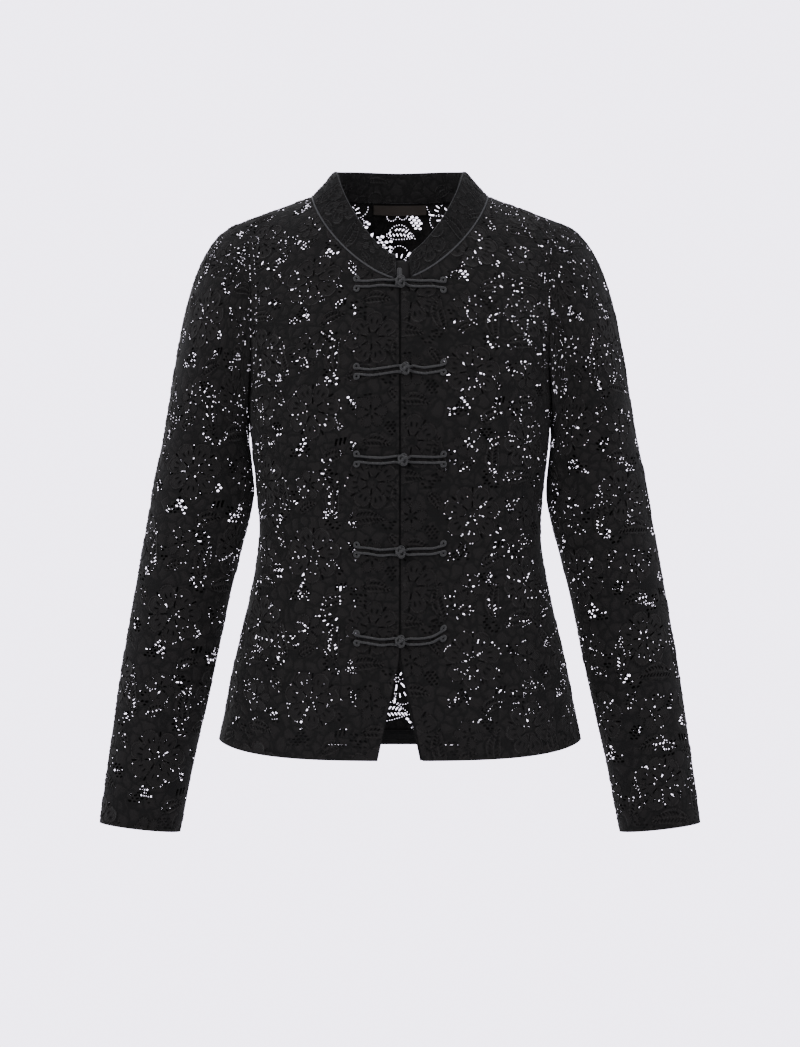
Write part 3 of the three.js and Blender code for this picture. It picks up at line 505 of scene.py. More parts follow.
def ladder_gap(place, degrees, size):
    long, wide = size * LADDER[0] / 2, size * LADDER[1] / 2
    corners = [(-long, -wide * 0.2), (-long * 0.7, -wide), (long * 0.7, -wide), (long, -wide * 0.2),
               (long * 0.75, wide), (-long * 0.75, wide)]
    return turned(corners, degrees, place)


def slot_hole(place, long, wide, degrees):
    foot = [(-long / 2, -wide * 0.3), (long / 2, -wide / 2)]
    head = [(long * 0.4, wide / 2), (-long * 0.4, wide / 2)]
    return turned(foot + head, degrees, place)


def even(points, pitch):
    return spaced(points, max(2, int(round(lengths(points)[-1] / pitch)) + 1))


class Repeat:
    """Holes and raised lines of one repeat, which meets itself on every side."""

    def __init__(self):
        self.holes, self.centres, self.reaches = [], np.zeros((0, 2)), np.zeros(0)
        self.lines, self.petals = [], []

    def away(self, places, others):
        gap = np.abs(places[:, None] - others[None])
        return np.linalg.norm(np.minimum(gap, REPEAT - gap), axis=-1)

    def hole(self, polygon, spare=CLEAR):
        centre = np.mod(polygon.mean(0), REPEAT)
        polygon = polygon - polygon.mean(0) + centre
        reach = np.linalg.norm(polygon - centre, axis=1).max()
        if len(self.holes):
            near = self.away(centre[None], self.centres)[0] < self.reaches + reach + spare
            for k in np.nonzero(near)[0]:
                shift = np.round((centre - self.centres[k]) / REPEAT) * REPEAT
                other = self.holes[k] + shift
                gaps = np.linalg.norm(dense(polygon)[:, None] - dense(other)[None], axis=-1)
                if gaps.min() < spare:
                    return
        self.holes.append(polygon)
        self.centres = np.vstack([self.centres, centre])
        self.reaches = np.append(self.reaches, reach)

    def pins(self, line, pitch=PIN_PITCH):
        for place in even(line, pitch):
            self.hole(ring(place, PIN, SIXTHS))


def dense(polygon):
    ends = np.roll(polygon, -1, 0)
    return np.vstack([mix(polygon, ends, share) for share in (0, 0.25, 0.5, 0.75)])


def petal_line(centre, radius, angle, size=1.0, steps=25):
    """Outline of one petal, a rounded drop that points at the flower's heart."""
    s = np.linspace(0, 2 * math.pi, steps)
    away = radius * (0.62 - 0.37 * size * np.cos(s))
    half = radius * 0.27 * size * np.sin(s) * (1 - 0.32 * np.cos(s))
    return turned(np.stack([away, half], -1), math.degrees(angle), centre)


def leaf_side(foot, long, wide, degrees, side, size=1.0):
    s = np.linspace(0.02, 0.98, 15)
    bend = 0.12 * long * np.sin(math.pi * s)
    half = side * size * wide / 2 * np.sin(math.pi * s**0.8)
    return turned(np.stack([s * long, bend + half], -1), degrees, foot)


def in_loop(points, loop):
    after = np.roll(loop, -1, 0)
    inside = np.zeros(len(points), bool)
    for p, q in zip(loop, after):
        if p[1] != q[1]:
            cross = (p[1] > points[:, 1]) != (q[1] > points[:, 1])
            inside ^= cross & (points[:, 0] < (q[0] - p[0]) * (points[:, 1] - p[1]) / (q[1] - p[1]) + p[0])
    return inside


SIXTHS, EIGHTHS = np.arange(6) * math.pi / 3, np.linspace(0, 2 * math.pi, 9)


def staggered(columns, rows):
    """Points in rows over the repeat, every other row half a step on."""
    i, j = np.meshgrid(np.arange(rows), np.arange(columns), indexing="ij")
    return np.stack([(j + 0.5 * (i % 2)) * REPEAT[0] / columns, i * REPEAT[1] / rows], -1).reshape(-1, 2)


def draw_repeat():
    lace = Repeat()
    for u, v, long, wide, degrees in LARGE_GAPS:
        lace.hole(slot_hole((u, v), long, wide, degrees))
    for u, v, radius, petals, start in FLOWERS:
        centre = np.array([u, v])
        lace.pins(ring(centre, HEART * radius, EIGHTHS), HEART_PITCH)
        for k in range(petals):
            angle = start + 2 * math.pi * k / petals
            between = angle + math.pi / petals
            out, long, wide = HEART_SLOT
            spot = ring(centre, out * radius, between)
            lace.hole(slot_hole(spot, long * radius, wide, math.degrees(between)))
            if radius > LARGE_FLOWER:
                out, long, wide = TIP_SLOT
                lace.hole(slot_hole(ring(centre, out * radius, between), long, wide, math.degrees(between)))
                out, beside, long, wide, slant = PETAL_SLOT
                for side in (-1, 1):
                    spot = turned((out * radius, side * beside), math.degrees(angle), centre)
                    lace.hole(slot_hole(spot, long, wide, math.degrees(angle) + side * slant))
            lace.pins(petal_line(centre, radius, angle, PETAL_RIM)[5:-5])
            lace.petals.append(petal_line(centre, radius, angle))
            lace.lines.append(petal_line(centre, radius, angle))
    for foot_x, foot_y, long, wide, degrees in LEAVES:
        foot = (foot_x, foot_y)
        sides = [leaf_side(foot, long, wide, degrees, side) for side in (-1, 1)]
        rib = leaf_side(foot, long, wide, degrees, 0)
        lace.lines += [*sides, rib]
        lace.petals.append(np.vstack([sides[0], sides[1][::-1]]))
        pitch, slot_long, slot_wide, slant = LEAF_SLOT
        for side in (-1, 1):
            for place in even(leaf_side(foot, long, wide, degrees, side, 0.5), pitch)[1:-1]:
                slot = slot_hole(place, wide * slot_long, slot_wide, degrees + side * slant)
                lace.hole(slot, CLEAR_SLOT)
            lace.pins(leaf_side(foot, long, wide, degrees, side, LEAF_RIM))
    net = staggered(*np.round(REPEAT / LADDER_PITCH).astype(int))
    across, up = net[:, 0] * 2 * math.pi / REPEAT[0], net[:, 1] * 2 * math.pi / REPEAT[1]
    patch = np.sin(2 * across - 0.6) * np.cos(3 * up) + 0.25 * np.sin(5 * across + 4 * up)
    slant = 28 * np.sin(across + 2 * up)
    net += 0.5 * np.stack([np.sin(7 * up), np.cos(5 * across)], -1)
    for k in np.nonzero((patch > LADDER_PATCH) & ~in_petals(net, lace.petals))[0]:
        size = 0.9 + 0.16 * math.sin(9 * across[k] + 11 * up[k])
        lace.hole(ladder_gap(net[k], slant[k], size), CLEAR_SLOT)
    return lace


def in_petals(points, petals):
    """Which points of the repeat lie in a petal or a leaf, counting those that cross its edges."""
    inside = np.zeros(len(points), bool)
    for loop in petals:
        for dx in (-REPEAT[0], 0, REPEAT[0]):
            for dy in (-REPEAT[1], 0, REPEAT[1]):
                low, high = loop.min(0) - [dx, dy], loop.max(0) - [dx, dy]
                if (low < REPEAT).all() and (high > 0).all():
                    inside |= in_loop(points + [dx, dy], loop)
    return inside


lace_repeat = draw_repeat()
# Mesh points of the repeat: their pitch on a raised line, how far beside it its foot lies, rows
# and columns of those between, and the least way from a hole's rim and from each other.
LINE_PITCH, LINE_FOOT, FILL = 2.3, 0.95, (42, 54)
RIM_CLEAR, POINT_CLEAR, CELL = 0.5, 0.8, 1.1


def line_points(lines):
    """Points on each raised line and beside it: place, and 1 on the crest or 0 at the foot."""
    places, crest = [], []
    for line in lines:
        middle = even(line, LINE_PITCH)
        ahead = np.gradient(middle, axis=0)
        beside = unit(np.stack([-ahead[:, 1], ahead[:, 0]], -1))
        for offset, high in ((0, 1.0), (LINE_FOOT, 0.0), (-LINE_FOOT, 0.0)):
            places.append(middle + offset * beside)
            crest.append(np.full(len(middle), high))
    return np.vstack(places), np.concatenate(crest)


def repeat_points():
    """Mesh points of the repeat between its holes, each with its crest and petal share."""
    places, crest = line_points(lace_repeat.lines)
    fill = staggered(*FILL)
    places = np.mod(np.vstack([places, fill]), REPEAT)
    crest = np.concatenate([crest, np.zeros(len(fill))])
    rims = np.mod(np.vstack([dense(hole) for hole in lace_repeat.holes]), REPEAT)
    free = np.ones(len(places), bool)
    for start in range(0, len(places), 400):
        part = slice(start, start + 400)
        free[part] = lace_repeat.away(places[part], rims).min(1) > RIM_CLEAR
    gap = lace_repeat.away(places, lace_repeat.centres)
    free &= (gap > 0.8 * PIN).all(1)
    order = sorted(np.nonzero(free)[0], key=lambda k: -crest[k])
    chosen, cells = [], {}
    for k in order:
        cell = tuple((places[k] // CELL).astype(int))
        around = [(cell[0] + dx, cell[1] + dy) for dx in (-1, 0, 1) for dy in (-1, 0, 1)]
        near = [m for key in around for m in cells.get(key, ())]
        if all(np.hypot(*(places[k] - places[m])) > POINT_CLEAR for m in near):
            chosen.append(k)
            cells.setdefault(cell, []).append(k)
    places, crest = places[chosen], crest[chosen]
    return places, crest, in_petals(places, lace_repeat.petals).astype(float)


POINTS, CREST, PETAL = repeat_points()
print("repeat:", len(lace_repeat.holes), "holes", len(POINTS), "points")


# %% [markdown]
# Materials are written as expressions: one small class wraps a node's output, and Python's
# operators add Math nodes. The lace is black with a little sheen, brighter on its cords; on the
# collar it is painted darker, as painted shade. The closures and the label are satin, with
# painted highlights along their twist.

# %% Material tools
class Value:
    """A node's output that arithmetic can be done on."""

    def __init__(self, tree, socket):
        self.tree = tree
        self.socket = socket

    def math(self, operation, first, second):
        return self.tree.add("ShaderNodeMath", {"operation": operation}, {0: first, 1: second})

    def __add__(self, other):
        return self.math("ADD", self, other)

    def __radd__(self, other):
        return self.math("ADD", other, self)

    def __sub__(self, other):
        return self.math("SUBTRACT", self, other)

    def __rsub__(self, other):
        return self.math("SUBTRACT", other, self)

    def __mul__(self, other):
        return self.math("MULTIPLY", self, other)

    def __rmul__(self, other):
        return self.math("MULTIPLY", other, self)


class Finish:
    """A material and the nodes that feed its shader."""

    def __init__(self, name, settings):
        self.material = bpy.data.materials.new(name)
        self.material.use_nodes = True
        self.tree = self.material.node_tree
        self.shader = self.tree.nodes["Principled BSDF"]
        for key, value in settings.items():
            self.shader.inputs[key].default_value = value

    def add(self, kind, settings, sockets, output=0):
        node = self.tree.nodes.new(kind)
        for key, value in settings.items():
            setattr(node, key, value)
        for key, value in sockets.items():
            if isinstance(value, Value):
                self.tree.links.new(value.socket, node.inputs[key])
            else:
                node.inputs[key].default_value = value
        return Value(self, node.outputs[output])

    def feed(self, name, value):
        self.tree.links.new(value.socket, self.shader.inputs[name])

    def blend(self, share, first, second):
        return self.add("ShaderNodeMix", {"data_type": "RGBA"}, {0: share, 6: first, 7: second}, 2)

    def bump(self, height, strength, distance):
        bump = self.add("ShaderNodeBump", {}, {"Strength": strength, "Distance": distance, "Height": height})
        self.feed("Normal", bump)


def lace_finish(name, dark, light, roughness, coordinates="UV"):
    """Corded lace: a woven ground, satin stitch over the petals, and cords that catch the light."""
    finish = Finish(name, {"Sheen Weight": 0.06, "Sheen Roughness": 0.4, "Specular IOR Level": 0.2})
    place = finish.add("ShaderNodeTexCoord", {}, {}, coordinates)
    cord = finish.add("ShaderNodeAttribute", {"attribute_name": "cord"}, {}, "Fac")
    petal = finish.add("ShaderNodeAttribute", {"attribute_name": "petal"}, {}, "Fac")
    thread = finish.add(
        "ShaderNodeTexWave", {"bands_direction": "DIAGONAL"},
        {"Vector": place, "Scale": 26.0, "Distortion": 3.0, "Detail": 1.0, "Detail Scale": 0.6}, "Fac",
    )
    weave = finish.add(
        "ShaderNodeTexVoronoi", {"feature": "F1"},
        {"Vector": place, "Scale": 90.0, "Randomness": 0.55}, "Distance",
    )
    patch = finish.add("ShaderNodeTexNoise", {}, {"Vector": place, "Scale": 7.0, "Detail": 3.0}, "Fac")
    fleck = finish.add("ShaderNodeTexNoise", {}, {"Vector": place, "Scale": 160.0, "Detail": 2.0}, "Fac")
    sway = finish.add("ShaderNodeTexNoise", {}, {"Vector": place, "Scale": 11.0, "Detail": 1.0}, "Color")
    bent = finish.add(
        "ShaderNodeVectorMath", {"operation": "MULTIPLY_ADD"}, {0: sway, 1: (0.09, 0.09, 0), 2: place},
    )
    leaf = finish.add(
        "ShaderNodeTexVoronoi", {"feature": "DISTANCE_TO_EDGE"}, {"Vector": bent, "Scale": 8.5}, "Distance",
    )
    rim = (1 - petal) * (1 - leaf.math("MINIMUM", leaf * 7, 1.0))
    crown = (1 - petal) * leaf.math("MINIMUM", leaf * 4, 1.0)
    height = thread * petal * 0.6 + (1 - weave) * 0.7 + cord * 1.2 + fleck * 0.3 + crown * 1.6 + rim * 1.1
    finish.bump(height, 1.0, 0.0011)
    ground = 0.2 + patch * 0.22 + (fleck - 0.45) * 0.5
    tone = ground + cord * 0.8 + petal * thread * 0.34 + crown * 0.14 - rim * 0.6
    finish.feed("Base Color", finish.blend(tone, dark, light))
    finish.feed("Roughness", roughness - cord * 0.16 - petal * 0.06 + fleck * 0.12)
    return finish.material


def satin_finish(name, dark, light, roughness, scale):
    """Satin cord or ribbon: fine threads along it, with a twist whose bright slants are painted highlights
    in its colour.
    """
    finish = Finish(name, {
        "Sheen Weight": 0.2, "Sheen Roughness": 0.3, "Coat Weight": 0.08, "Coat Roughness": 0.35,
    })
    place = finish.add("ShaderNodeTexCoord", {}, {}, "UV")
    twist = finish.add(
        "ShaderNodeTexWave", {"bands_direction": "DIAGONAL"},
        {"Vector": place, "Scale": scale, "Distortion": 0.6, "Detail": 1.0}, "Fac",
    )
    fleck = finish.add("ShaderNodeTexNoise", {}, {"Vector": place, "Scale": scale * 6, "Detail": 2.0}, "Fac")
    finish.bump(twist * 0.8 + fleck * 0.3, 0.6, 0.0004)
    # Painted highlights: the colour runs from dark to light along the twist, so its bright slants are
    # painted; the flecks are random tone.
    finish.feed("Base Color", finish.blend(twist * 0.6 + fleck * 0.4, dark, light))
    finish.feed("Roughness", roughness + (1 - twist) * 0.15)
    return finish.material


lace_black = lace_finish("lace_black", (0.0016, 0.0013, 0.0013, 1), (0.0152, 0.013, 0.0128, 1), 0.66)
# The collar's lace is the same lace painted darker: painted shade against the lamp light that its upward and
# forward faces catch.
collar_lace_painted_shade = lace_finish("collar_lace_painted_shade", (0.001, 0.0008, 0.0008, 1), (0.0088, 0.0076, 0.0075, 1), 0.7)
cloth_black = lace_finish("cloth_black", (0.003, 0.0027, 0.0027, 1), (0.0128, 0.0114, 0.0114, 1), 0.74)
lining_black = lace_finish("lining_black", (0.0026, 0.0023, 0.0024, 1), (0.0155, 0.014, 0.0143, 1), 0.7)
# The light colour of each satin is the colour of its painted highlights.
cord_satin = satin_finish("cord_satin", (0.007, 0.007, 0.0075, 1), (0.036, 0.0355, 0.0375, 1), 0.3, 30.0)
edge_satin = satin_finish("edge_satin", (0.016, 0.016, 0.018, 1), (0.06, 0.06, 0.066, 1), 0.42, 40.0)
label_satin = satin_finish("label_satin", (0.02, 0.015, 0.012, 1), (0.05, 0.038, 0.03, 1), 0.4, 60.0)


# %% [markdown]
# Every piece becomes one mesh at the origin that rides on the part's single body. Grids that a
# formula bends make the bands and cords; the lace comes from a triangulation that keeps every
# hole's corners and every cord's crest as its own points.

# %% Mesh tools
# Millimetres of cloth for one unit of a mesh's texture coordinates.
UV_MM = 100


def finished(name, mesh, material, nodes=()):
    """The mesh as a piece of the shirt that stands for its CAD nodes."""
    mesh.shade_smooth()
    mesh.materials.append(material)
    obj = placed(name, mesh)
    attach(obj, "root")
    if nodes:
        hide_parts(*nodes)
    return obj


def bent_grid(bm, columns, rows, bend, flat_size):
    """Adds a grid whose places bend(u, v) gives for u and v from 0 to 1, and joins its doubles."""
    made = bmesh.ops.create_grid(bm, x_segments=columns, y_segments=rows, size=0.5)
    verts = made["verts"]
    u = np.array([vert.co.x + 0.5 for vert in verts])
    v = np.array([vert.co.y + 0.5 for vert in verts])
    uv_layer = bm.loops.layers.uv.verify()
    share = {vert: (u[k], v[k]) for k, vert in enumerate(verts)}
    for face in {face for vert in verts for face in vert.link_faces}:
        for loop in face.loops:
            across, up = share[loop.vert]
            loop[uv_layer].uv = (across * flat_size[0] / UV_MM, up * flat_size[1] / UV_MM)
    for vert, place in zip(verts, bend(u, v)):
        vert.co = Vector(place * MM)
    bmesh.ops.remove_doubles(bm, verts=verts, dist=1e-6)


def from_bmesh(bm, name):
    bmesh.ops.recalc_face_normals(bm, faces=bm.faces)
    mesh = bpy.data.meshes.new(name)
    bm.to_mesh(mesh)
    bm.free()
    return mesh


def band(name, columns, rows, bend, flat_size, material, nodes=()):
    """A strip of cloth on a bent grid."""
    bm = bmesh.new()
    bent_grid(bm, columns, rows, bend, flat_size)
    finished(name, from_bmesh(bm, name), material, nodes)


def smooth_path(points, steps):
    """Points along a smooth curve through the given ones, and the length of the curve."""
    p = np.vstack([2 * points[0] - points[1], points, 2 * points[-1] - points[-2]])
    t = np.linspace(0, len(points) - 1 - 1e-9, steps)
    i, f = t.astype(int), (t % 1)[:, None]
    a, b, c, d = (p[i + k] for k in range(4))
    curve = 2 * b + (c - a) * f + (2 * a - 5 * b + 4 * c - d) * f**2 + (3 * b - a - 3 * c + d) * f**3
    curve = 0.5 * curve
    return curve, lengths(curve)[-1]


def add_cord(bm, points, radius, steps, sides=8, closed=False):
    """Adds a round cord along a path, with its ends drawn to a blunt point."""
    curve, long = smooth_path(points, steps)
    ahead = unit(np.gradient(curve, axis=0))
    if closed:
        ahead[0] = ahead[-1] = unit(curve[1] - curve[-2])
    side = unit(np.cross(ahead, [0.03, 1.0, 0.05]))
    up = np.cross(side, ahead)

    def bend(u, v):
        k = u * (steps - 1)
        i = np.clip(k.astype(int), 0, steps - 2)
        f = (k - i)[:, None]
        place, s, w = (mix(x[i], x[i + 1], f) for x in (curve, side, up))
        end = np.minimum(u, 1 - u) * long / radius
        thick = radius if closed else radius * np.sqrt(np.clip(1 - (1 - np.minimum(end, 1)) ** 2, 0, 1))
        turn = 2 * math.pi * v
        ring = s * np.cos(turn)[:, None] + w * np.sin(turn)[:, None]
        return place + ring * (thick[:, None] if not closed else thick)

    bent_grid(bm, steps - 1, sides, bend, (long, 2 * math.pi * radius * 4))


# %% [markdown]
# One function makes any lace panel from its flat outline. It lays the repeat over the outline,
# keeps the holes and points well inside it, and gives everything to Blender's constrained
# Delaunay triangulation. Triangles inside a hole or outside the outline are left out, the rest is
# bent onto the body, and the crests of the cords are raised.

# %% Lace panels
CORD_HEIGHT, PETAL_HEIGHT = 0.55, 0.18
EDGE_STEP, ROUGH_STEP = 2.4, 6
# Cloth kept whole between the outline and the nearest hole or mesh point.
HOLE_MARGIN, POINT_MARGIN = 1.6, 1.3


def inside_by(loop, points):
    """How far inside the outline each point lies, negative outside."""
    nearest = np.full(len(points), np.inf)
    for p, q in zip(loop, np.roll(loop, -1, 0)):
        way = q - p
        share = np.clip(((points - p) @ way) / max(way @ way, 1e-9), 0, 1)
        gap = points - p - share[:, None] * way
        nearest = np.minimum(nearest, gap[:, 0] ** 2 + gap[:, 1] ** 2)
    return np.sqrt(nearest) * np.where(in_loop(points, loop), 1, -1)


def lace_panel(name, loop, cloth, shift, nodes, finish):
    rough, area = counterclockwise(loop)
    outline = resample(rough, EDGE_STEP)
    low, high = outline.min(0), outline.max(0)
    first = np.floor((low - shift) / REPEAT).astype(int) - 1
    last = np.ceil((high - shift) / REPEAT).astype(int) + 1
    tiles = [(i, j) for i in range(first[0], last[0]) for j in range(first[1], last[1])]
    coarse = resample(rough, ROUGH_STEP)
    count = len(outline)
    verts, faces, crest, petal = [outline], [list(range(count))], [np.zeros(count)], [np.zeros(count)]
    for tile in tiles:
        move = np.array(tile) * REPEAT + shift
        kept = inside_by(coarse, lace_repeat.centres + move) > lace_repeat.reaches + HOLE_MARGIN
        for k in np.nonzero(kept)[0]:
            polygon = lace_repeat.holes[k] + move
            verts.append(polygon)
            faces.append(list(range(count, count + len(polygon))))
            crest.append(np.zeros(len(polygon)))
            petal.append(np.zeros(len(polygon)))
            count += len(polygon)
        kept = inside_by(coarse, POINTS + move) > POINT_MARGIN
        verts.append(POINTS[kept] + move)
        crest.append(CREST[kept])
        petal.append(PETAL[kept])
        count += int(kept.sum())
    crest, petal = np.concatenate(crest), np.concatenate(petal)
    found = delaunay_2d_cdt([Vector(p) for p in np.vstack(verts)], [], faces, 0, 1e-4)
    flat = np.array([tuple(p) for p in found[0]])
    source = [owners[0] if owners else 0 for owners in found[3]]
    kept_faces = [face for face, owners in zip(found[2], found[5]) if list(owners) == [0]]
    used = sorted({k for face in kept_faces for k in face})
    order = {k: n for n, k in enumerate(used)}
    triangles = [tuple(order[k] for k in face) for face in kept_faces]
    flat, source = flat[used], np.array(source)[used]
    crest, petal = crest[source], petal[source]
    places, normals = cloth.spot(flat)
    corner = np.array(triangles)
    first_corner, second, third = (places[corner[:, k]] for k in range(3))
    facing = np.cross(second - first_corner, third - first_corner)
    if np.sum(facing * normals[corner[:, 0]]) < 0:
        triangles = [face[::-1] for face in triangles]
    places = places + normals * (CORD_HEIGHT * crest + PETAL_HEIGHT * petal)[:, None]
    mesh = bpy.data.meshes.new(name)
    mesh.from_pydata((places * MM).tolist(), [], triangles)
    for key, values in (("cord", crest), ("petal", petal)):
        mesh.attributes.new(key, "FLOAT", "POINT").data.foreach_set("value", values.astype(np.float32))
    uv = mesh.uv_layers.new(name="flat")
    loops = np.zeros(len(mesh.loops), np.int32)
    mesh.loops.foreach_get("vertex_index", loops)
    uv.data.foreach_set("uv", (flat[loops] / UV_MM).astype(np.float32).ravel())
    obj = finished(name, mesh, finish, nodes)
    size = (high - low) * MM
    print(name, len(triangles), "triangles", np.round(size, 3), "m, area", round(area / 1e6, 4), "m2")
    return outline


def edge_band(name, outline, cloth, width, lift):
    """A seam allowance: a strip inside a panel all along its outline."""
    ahead = np.roll(outline, -1, 0) - np.roll(outline, 1, 0)
    inward = unit(np.stack([-ahead[:, 1], ahead[:, 0]], -1))
    count = len(outline)

    def bend(u, v):
        k = np.round(u * count).astype(int) % count
        flat = outline[k] + inward[k] * (width * v)[:, None]
        places, normals = cloth.spot(flat)
        return places + normals * lift

    band(name, count, 2, bend, (EDGE_STEP * count, width), cloth_black)


sleeve_cloths = {(side, face): FlatSleeve(face, side) for side in (RIGHT, LEFT) for face in (FRONT, BACK)}
SEAM_WIDTH, SEAM_LIFT = 3.2, -0.45
# Each panel: its outline, its cloth, and where the repeat starts on it, as on the CAD walls.
PANELS = {
    "front_right": (front_loop(RIGHT), front_cloth, (0, 20)),
    "front_left": (front_loop(LEFT), front_cloth, (40, 62)),
    "back": (back_loop(), back_cloth, (25, 105)),
}
SLEEVE_STARTS = {
    (RIGHT, FRONT): (35, 35), (RIGHT, BACK): (97, 35), (LEFT, FRONT): (81, 81), (LEFT, BACK): (143, 81),
}
for (side, face), start in SLEEVE_STARTS.items():
    cloth = sleeve_cloths[side, face]
    key = f"sleeve_{'right' if side == RIGHT else 'left'}_{'front' if face == FRONT else 'back'}"
    PANELS[key] = (sleeve_loop(cloth), cloth, start)
for name, (loop, cloth, start) in PANELS.items():
    outline = lace_panel(f"lace_{name}", loop, cloth, np.array(start, float), [name], lace_black)
    edge_band(f"seam_{name}", outline, cloth, SEAM_WIDTH, SEAM_LIFT)


# %% [markdown]
# The front edges are backed by plain facings, so nothing shows through the middle of the shirt,
# and the hem and cuffs are turned up once.

# %% Facings and turned edges
FACING_X, FACING_LIFT, UNDER_LAP = 45, -1.8, 2.4
TURN_LIFT, TORSO_TALL = -0.9, UNDERARM_Z - HEM_Z


def torso_band(name, face, side, start, end, low, high, lift, columns, rows, nodes=()):
    """A strip on the torso between two angles (functions of the level) and two levels."""
    def bend(u, v):
        level = mix(low, high(u) if callable(high) else high, v)
        a = mix(start(level), end(level), u)
        return off_torso(a, level, face, lift, np.array([side, 1.0, 1.0]))

    band(name, columns, rows, bend, (100, 500), cloth_black, nodes)


def facing_end(v):
    return angle_for_width(FACING_X + 0 * v, v)


def facing_top(u):
    share = np.linspace(0, 0.7, 50)
    a, v = neckline(share, FRONT)
    x = torso(a, v, FRONT)[:, 0]
    return np.interp(mix(OPENING_HALF, FACING_X, u), x, v) - 0.004


def facing_start(v):
    return slit_angle(v) - UNDER_LAP / torso_half(v)


def side_line(v):
    return QUARTER + 0 * v


def middle_line(v):
    return 0 * v


for side, word in ((RIGHT, "right"), (LEFT, "left")):
    first = slit_angle if side == RIGHT else facing_start
    torso_band(f"front_facing_{word}", FRONT, side, first, facing_end, 0.002, facing_top, FACING_LIFT,
               12, 90, [f"facing_{word}"])
    for where, face, start in (("front", FRONT, slit_angle), ("back", BACK, middle_line)):
        torso_band(f"hem_{where}_{word}", face, side, start, side_line, 0.001, HEM_TURN / TORSO_TALL,
                   TURN_LIFT, 80, 3)
    side_turn = np.array([side, 1.0, 1.0])

    def cuff(u, v):
        turn = 2 * math.pi * u
        t = v * CUFF_TURN / sleeve_cloths[RIGHT, FRONT].tall
        return (sleeve(turn, t) + TURN_LIFT * sleeve_normal(turn, t)) * side_turn

    band(f"cuff_{word}", 96, 3, cuff, (240, CUFF_TURN), cloth_black)

# %% [markdown]
# The standing collar follows the neck edge and leans inwards. It has lace on both faces with a
# plain lining between them, and a fine cord in the neck seam and along its top edge. Its ends are
# rounded off, the left one more.

# %% Collar
COLLAR = table("turn inward up", (0, 15, 25), (50, 24, 27), (90, 25, 25), (135, 14, 29), (180, 5, 30))
NECK_AXIS_Y, COLLAR_RIGHT_END, COLLAR_LEFT_END, COLLAR_GAP, COLLAR_CLOTH = -15, 4.2, 9.5, 0.6, 2
SEAM_POINTS, NECK_CORD, TOP_CORD = 221, 0.75, 0.65


def neck_seam():
    """Points along the neck edge from the right front end round the back to the left front end."""
    s = np.linspace(0, 1, 70)
    parts = []
    for side, face, order in ((RIGHT, FRONT, 1), (RIGHT, BACK, -1), (LEFT, BACK, 1), (LEFT, FRONT, -1)):
        a, v = neckline(s, face)
        parts.append((torso(a, v, face) * [side, 1, 1])[::order])
    line = np.vstack(parts)
    front = line[:, 1] < NECK_AXIS_Y
    middle = (np.abs(line[:, 0]) < np.where(line[:, 0] < 0, COLLAR_RIGHT_END, COLLAR_LEFT_END)) & front
    line = line[~middle]
    gap = np.linalg.norm(np.diff(line, axis=0), axis=1)
    line = line[np.concatenate([[True], gap > 0.01])]
    return spaced(line, SEAM_POINTS), lengths(line)[-1]


SEAM, SEAM_LENGTH = neck_seam()


def collar_lean(points):
    towards = unit(np.stack([-points[:, 0], NECK_AXIS_Y - points[:, 1], 0 * points[:, 0]], -1))
    turn = np.degrees(np.arctan2(np.abs(points[:, 0]), NECK_AXIS_Y - points[:, 1]))
    lean = towards * along(COLLAR, "turn", "inward", turn)[:, None]
    lean[:, 2] = along(COLLAR, "turn", "up", turn)
    return lean


LEANS = collar_lean(SEAM)
COLLAR_NORMALS = unit(np.cross(np.gradient(SEAM, axis=0), LEANS))
outward = SEAM - [0, NECK_AXIS_Y, 0]
outward[:, 2] = 0
COLLAR_NORMALS *= np.where(np.sum(COLLAR_NORMALS * outward, 1) < 0, -1, 1)[:, None]
CORNER_RIGHT, CORNER_LEFT = 2.5, 9


def collar_height(along_seam):
    """Share of the collar's height at a way along it: the ends are rounded off."""
    high = np.ones_like(along_seam)
    for way, corner in ((along_seam, CORNER_RIGHT), (SEAM_LENGTH - along_seam, CORNER_LEFT)):
        inside = np.clip(1 - way / corner, 0, 1)
        high -= (1 - np.sqrt(1 - inside**2)) * corner / 30
    return high


def collar_spot(way, share, lift):
    k = np.clip(way / SEAM_LENGTH, 0, 1) * (len(SEAM) - 1)
    i = np.clip(k.astype(int), 0, len(SEAM) - 2)
    f = (k - i)[:, None]
    base, lean, normal = (mix(x[i], x[i + 1], f) for x in (SEAM, LEANS, COLLAR_NORMALS))
    high = (share * collar_height(way))[:, None]
    return base + unit(lean) * COLLAR_GAP + lean * high + unit(normal) * lift, unit(normal)


class FlatCollar:
    """One side of the collar between flat cloth and its place in the room."""
    tall = float(np.linalg.norm(LEANS, axis=1).mean())

    def __init__(self, lift, turn):
        self.lift = lift
        self.turn = turn

    def spot(self, flat):
        places, normals = collar_spot(flat[:, 0], flat[:, 1] / self.tall, self.lift)
        return places, normals * self.turn


corners = np.array([(0, 0), (SEAM_LENGTH, 0), (SEAM_LENGTH, FlatCollar.tall), (0, FlatCollar.tall)], float)
outside, inside = FlatCollar(0.1, 1), FlatCollar(-0.15 - COLLAR_CLOTH, -1)
# The outer face of the collar takes the lace painted darker, as painted shade.
lace_panel("lace_collar", corners, outside, np.array([10.0, 66.0]), ["collar"], collar_lace_painted_shade)
lace_panel("lace_collar_inside", corners, inside, np.array([70.0, 20.0]), [], lining_black)


def collar_lining(u, v):
    """Section of the lining: up behind the lace, round the top edge and down inside."""
    share = np.interp(v, [0, 0.45, 0.55, 1], [0, 1, 1, 0])
    lift = np.interp(v, [0, 0.45, 0.5, 0.55, 1], [-0.5, -0.5, -1.0, -COLLAR_CLOTH, -COLLAR_CLOTH])
    places, _ = collar_spot(u * SEAM_LENGTH, share + 0.03 * np.sin(math.pi * v) ** 8, 0)
    normals = collar_spot(u * SEAM_LENGTH, share, 0)[1]
    return places + normals * lift[:, None]


